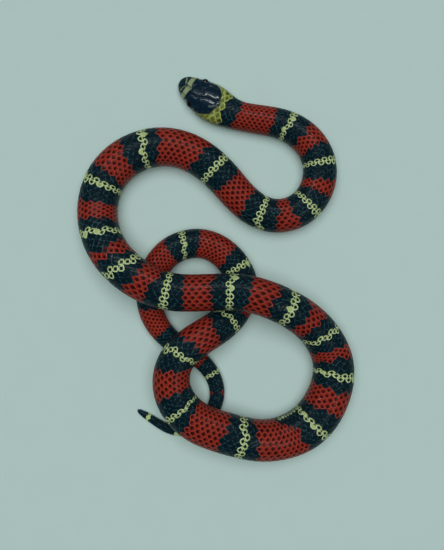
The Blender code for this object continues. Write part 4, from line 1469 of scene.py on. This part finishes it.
class SNAKE_OT_skin(bpy.types.Operator):
    """Build the one skin of head, body and tail, with its shields"""

    bl_idname = "snake.skin"
    bl_label = "Skin and head shields"

    def execute(self, context):
        colours, shape, _ = settings()
        shade = coat_material("shield_gloss", colours, colours.cap)
        skin = show(build_skin(Outline(), shape), shade)
        flesh = [name for name in frame["nodes"] if not name.startswith("eye_")]
        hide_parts(*sorted(flesh))
        return {"FINISHED"}


class SNAKE_OT_scales(bpy.types.Operator):
    """Lay the overlapping scales of nape, body and tail"""

    bl_idname = "snake.scales"
    bl_label = "Scales"

    def execute(self, context):
        colours, shape, _ = settings()
        outline = Outline()
        seats = all_seats()
        draws = np.random.default_rng(SEED).uniform(-1.0, 1.0, (len(seats), 6))
        shade = coat_material("scale_satin", colours, colours.black)
        start = 0.0
        for name, end in SCALE_PIECES:
            here = (seats[:, 0] >= start) & (seats[:, 0] < end)
            piece = show(build_scales(outline, shape, name, seats[here], draws[here]), shade)
            start = end
        return {"FINISHED"}


class SNAKE_OT_plates(bpy.types.Operator):
    """Lay the wide plates under the belly and tail"""

    bl_idname = "snake.plates"
    bl_label = "Belly plates"

    def execute(self, context):
        colours, shape, _ = settings()
        shade = coat_material("plate_satin", colours, colours.black)
        show(build_plates(Outline(), shape), shade)
        return {"FINISHED"}


class SNAKE_OT_eyes(bpy.types.Operator):
    """Finish the two eyes"""

    bl_idname = "snake.eyes"
    bl_label = "Eyes"

    def execute(self, context):
        colours, _, _ = settings()
        shade = eye_material(colours, Outline())
        for name in ("eye_left", "eye_right"):
            eye = frame["nodes"][name]
            eye.data.materials.clear()
            eye.data.materials.append(shade)
        return {"FINISHED"}


def add_lamp(name, kind, place, power):
    """A lamp of Blender's kind that shines from a place towards the origin."""
    lamp = bpy.data.lights.new(name, kind)
    lamp.energy = power
    lamp.color = LAMP_TINT
    made = bpy.data.objects.new(name, lamp)
    made.location = place
    made.rotation_euler = Vector(place).to_track_quat("Z", "Y").to_euler()
    bpy.context.scene.collection.objects.link(made)
    return made


class SNAKE_OT_stage(bpy.types.Operator):
    """Set the floor, the lamps, the sky and the camera"""

    bl_idname = "snake.stage"
    bl_label = "Stage"

    def execute(self, context):
        _, _, stage = settings()
        half = stage.floor_size / 2.0
        mesh = bpy.data.meshes.new("floor")
        corners = [(x * half, y * half, FLOOR_LEVEL)
                   for x, y in ((-1, -1), (1, -1), (1, 1), (-1, 1))]
        mesh.from_pydata(corners, [], [(0, 1, 2, 3)])
        mesh.materials.append(floor_material(stage))
        floor = bpy.data.objects.new("floor", mesh)
        context.scene.collection.objects.link(floor)
        soft = add_lamp("soft_lamp", "SUN", SOFT_PLACE, stage.soft_strength)
        soft.data.angle = SOFT_ANGLE
        soft.visible_glossy = False
        for i, (place, size, share) in enumerate(GLINT_LAMPS):
            glint = add_lamp(f"glint_lamp_{i}", "AREA", place, share * stage.glint_power)
            glint.data.shape = "RECTANGLE"
            glint.data.size, glint.data.size_y = size
            glint.visible_diffuse = False
        context.scene.world = self.make_world(stage)
        self.set_camera(context.scene, stage)
        context.scene.view_settings.view_transform = "Standard"
        return {"FINISHED"}

    @staticmethod
    def make_world(stage):
        """A dim sky that is pale where it is looked at, so that it adds little haze."""
        world = bpy.data.worlds.new("pale_room")
        world.use_nodes = True
        background = world.node_tree.nodes["Background"].inputs
        background["Color"].default_value = SKY_TINT
        seen = new_value(world.node_tree, "ShaderNodeLightPath", "Is Camera Ray")
        sky = seen * (stage.backdrop - stage.sky_strength) + stage.sky_strength
        feed(background["Strength"], sky)
        return world

    @staticmethod
    def set_camera(scene, stage):
        data = bpy.data.cameras.new("overhead_camera")
        data.sensor_width = 36.0
        data.lens = data.sensor_width * (stage.camera_height - VIEW_LEVEL) / stage.view_height
        data.clip_start = 0.01
        camera = bpy.data.objects.new("overhead_camera", data)
        camera.location = (*VIEW_CENTRE, stage.camera_height)
        scene.collection.objects.link(camera)
        scene.camera = camera


class SNAKE_PT_looks(bpy.types.Panel):
    """Lists the pieces of the snake and their settings"""

    bl_idname = "SNAKE_PT_looks"
    bl_label = "Milk Snake"
    bl_space_type = "VIEW_3D"
    bl_region_type = "UI"
    bl_category = "Snake"

    def draw(self, context):
        for step in STEPS:
            self.layout.operator(step.bl_idname)
        for group in settings():
            box = self.layout.box()
            for name in group.__annotations__:
                box.prop(group, name)


STEPS = (SNAKE_OT_skin, SNAKE_OT_scales, SNAKE_OT_plates, SNAKE_OT_eyes, SNAKE_OT_stage)
GROUPS = {"snake_colours": SnakeColours, "snake_shape": SnakeShape, "snake_stage": SnakeStage}


def register():
    for kind in (*GROUPS.values(), *STEPS, SNAKE_PT_looks):
        bpy.utils.register_class(kind)
    for name, kind in GROUPS.items():
        setattr(bpy.types.Scene, name, bpy.props.PointerProperty(type=kind))


def unregister():
    for name in GROUPS:
        delattr(bpy.types.Scene, name)
    for kind in reversed((*GROUPS.values(), *STEPS, SNAKE_PT_looks)):
        bpy.utils.unregister_class(kind)


def main():
    register()
    bpy.ops.snake.skin()
    bpy.ops.snake.scales()
    bpy.ops.snake.plates()
    bpy.ops.snake.eyes()
    bpy.ops.snake.stage()


if __name__ == "__main__":
    main()
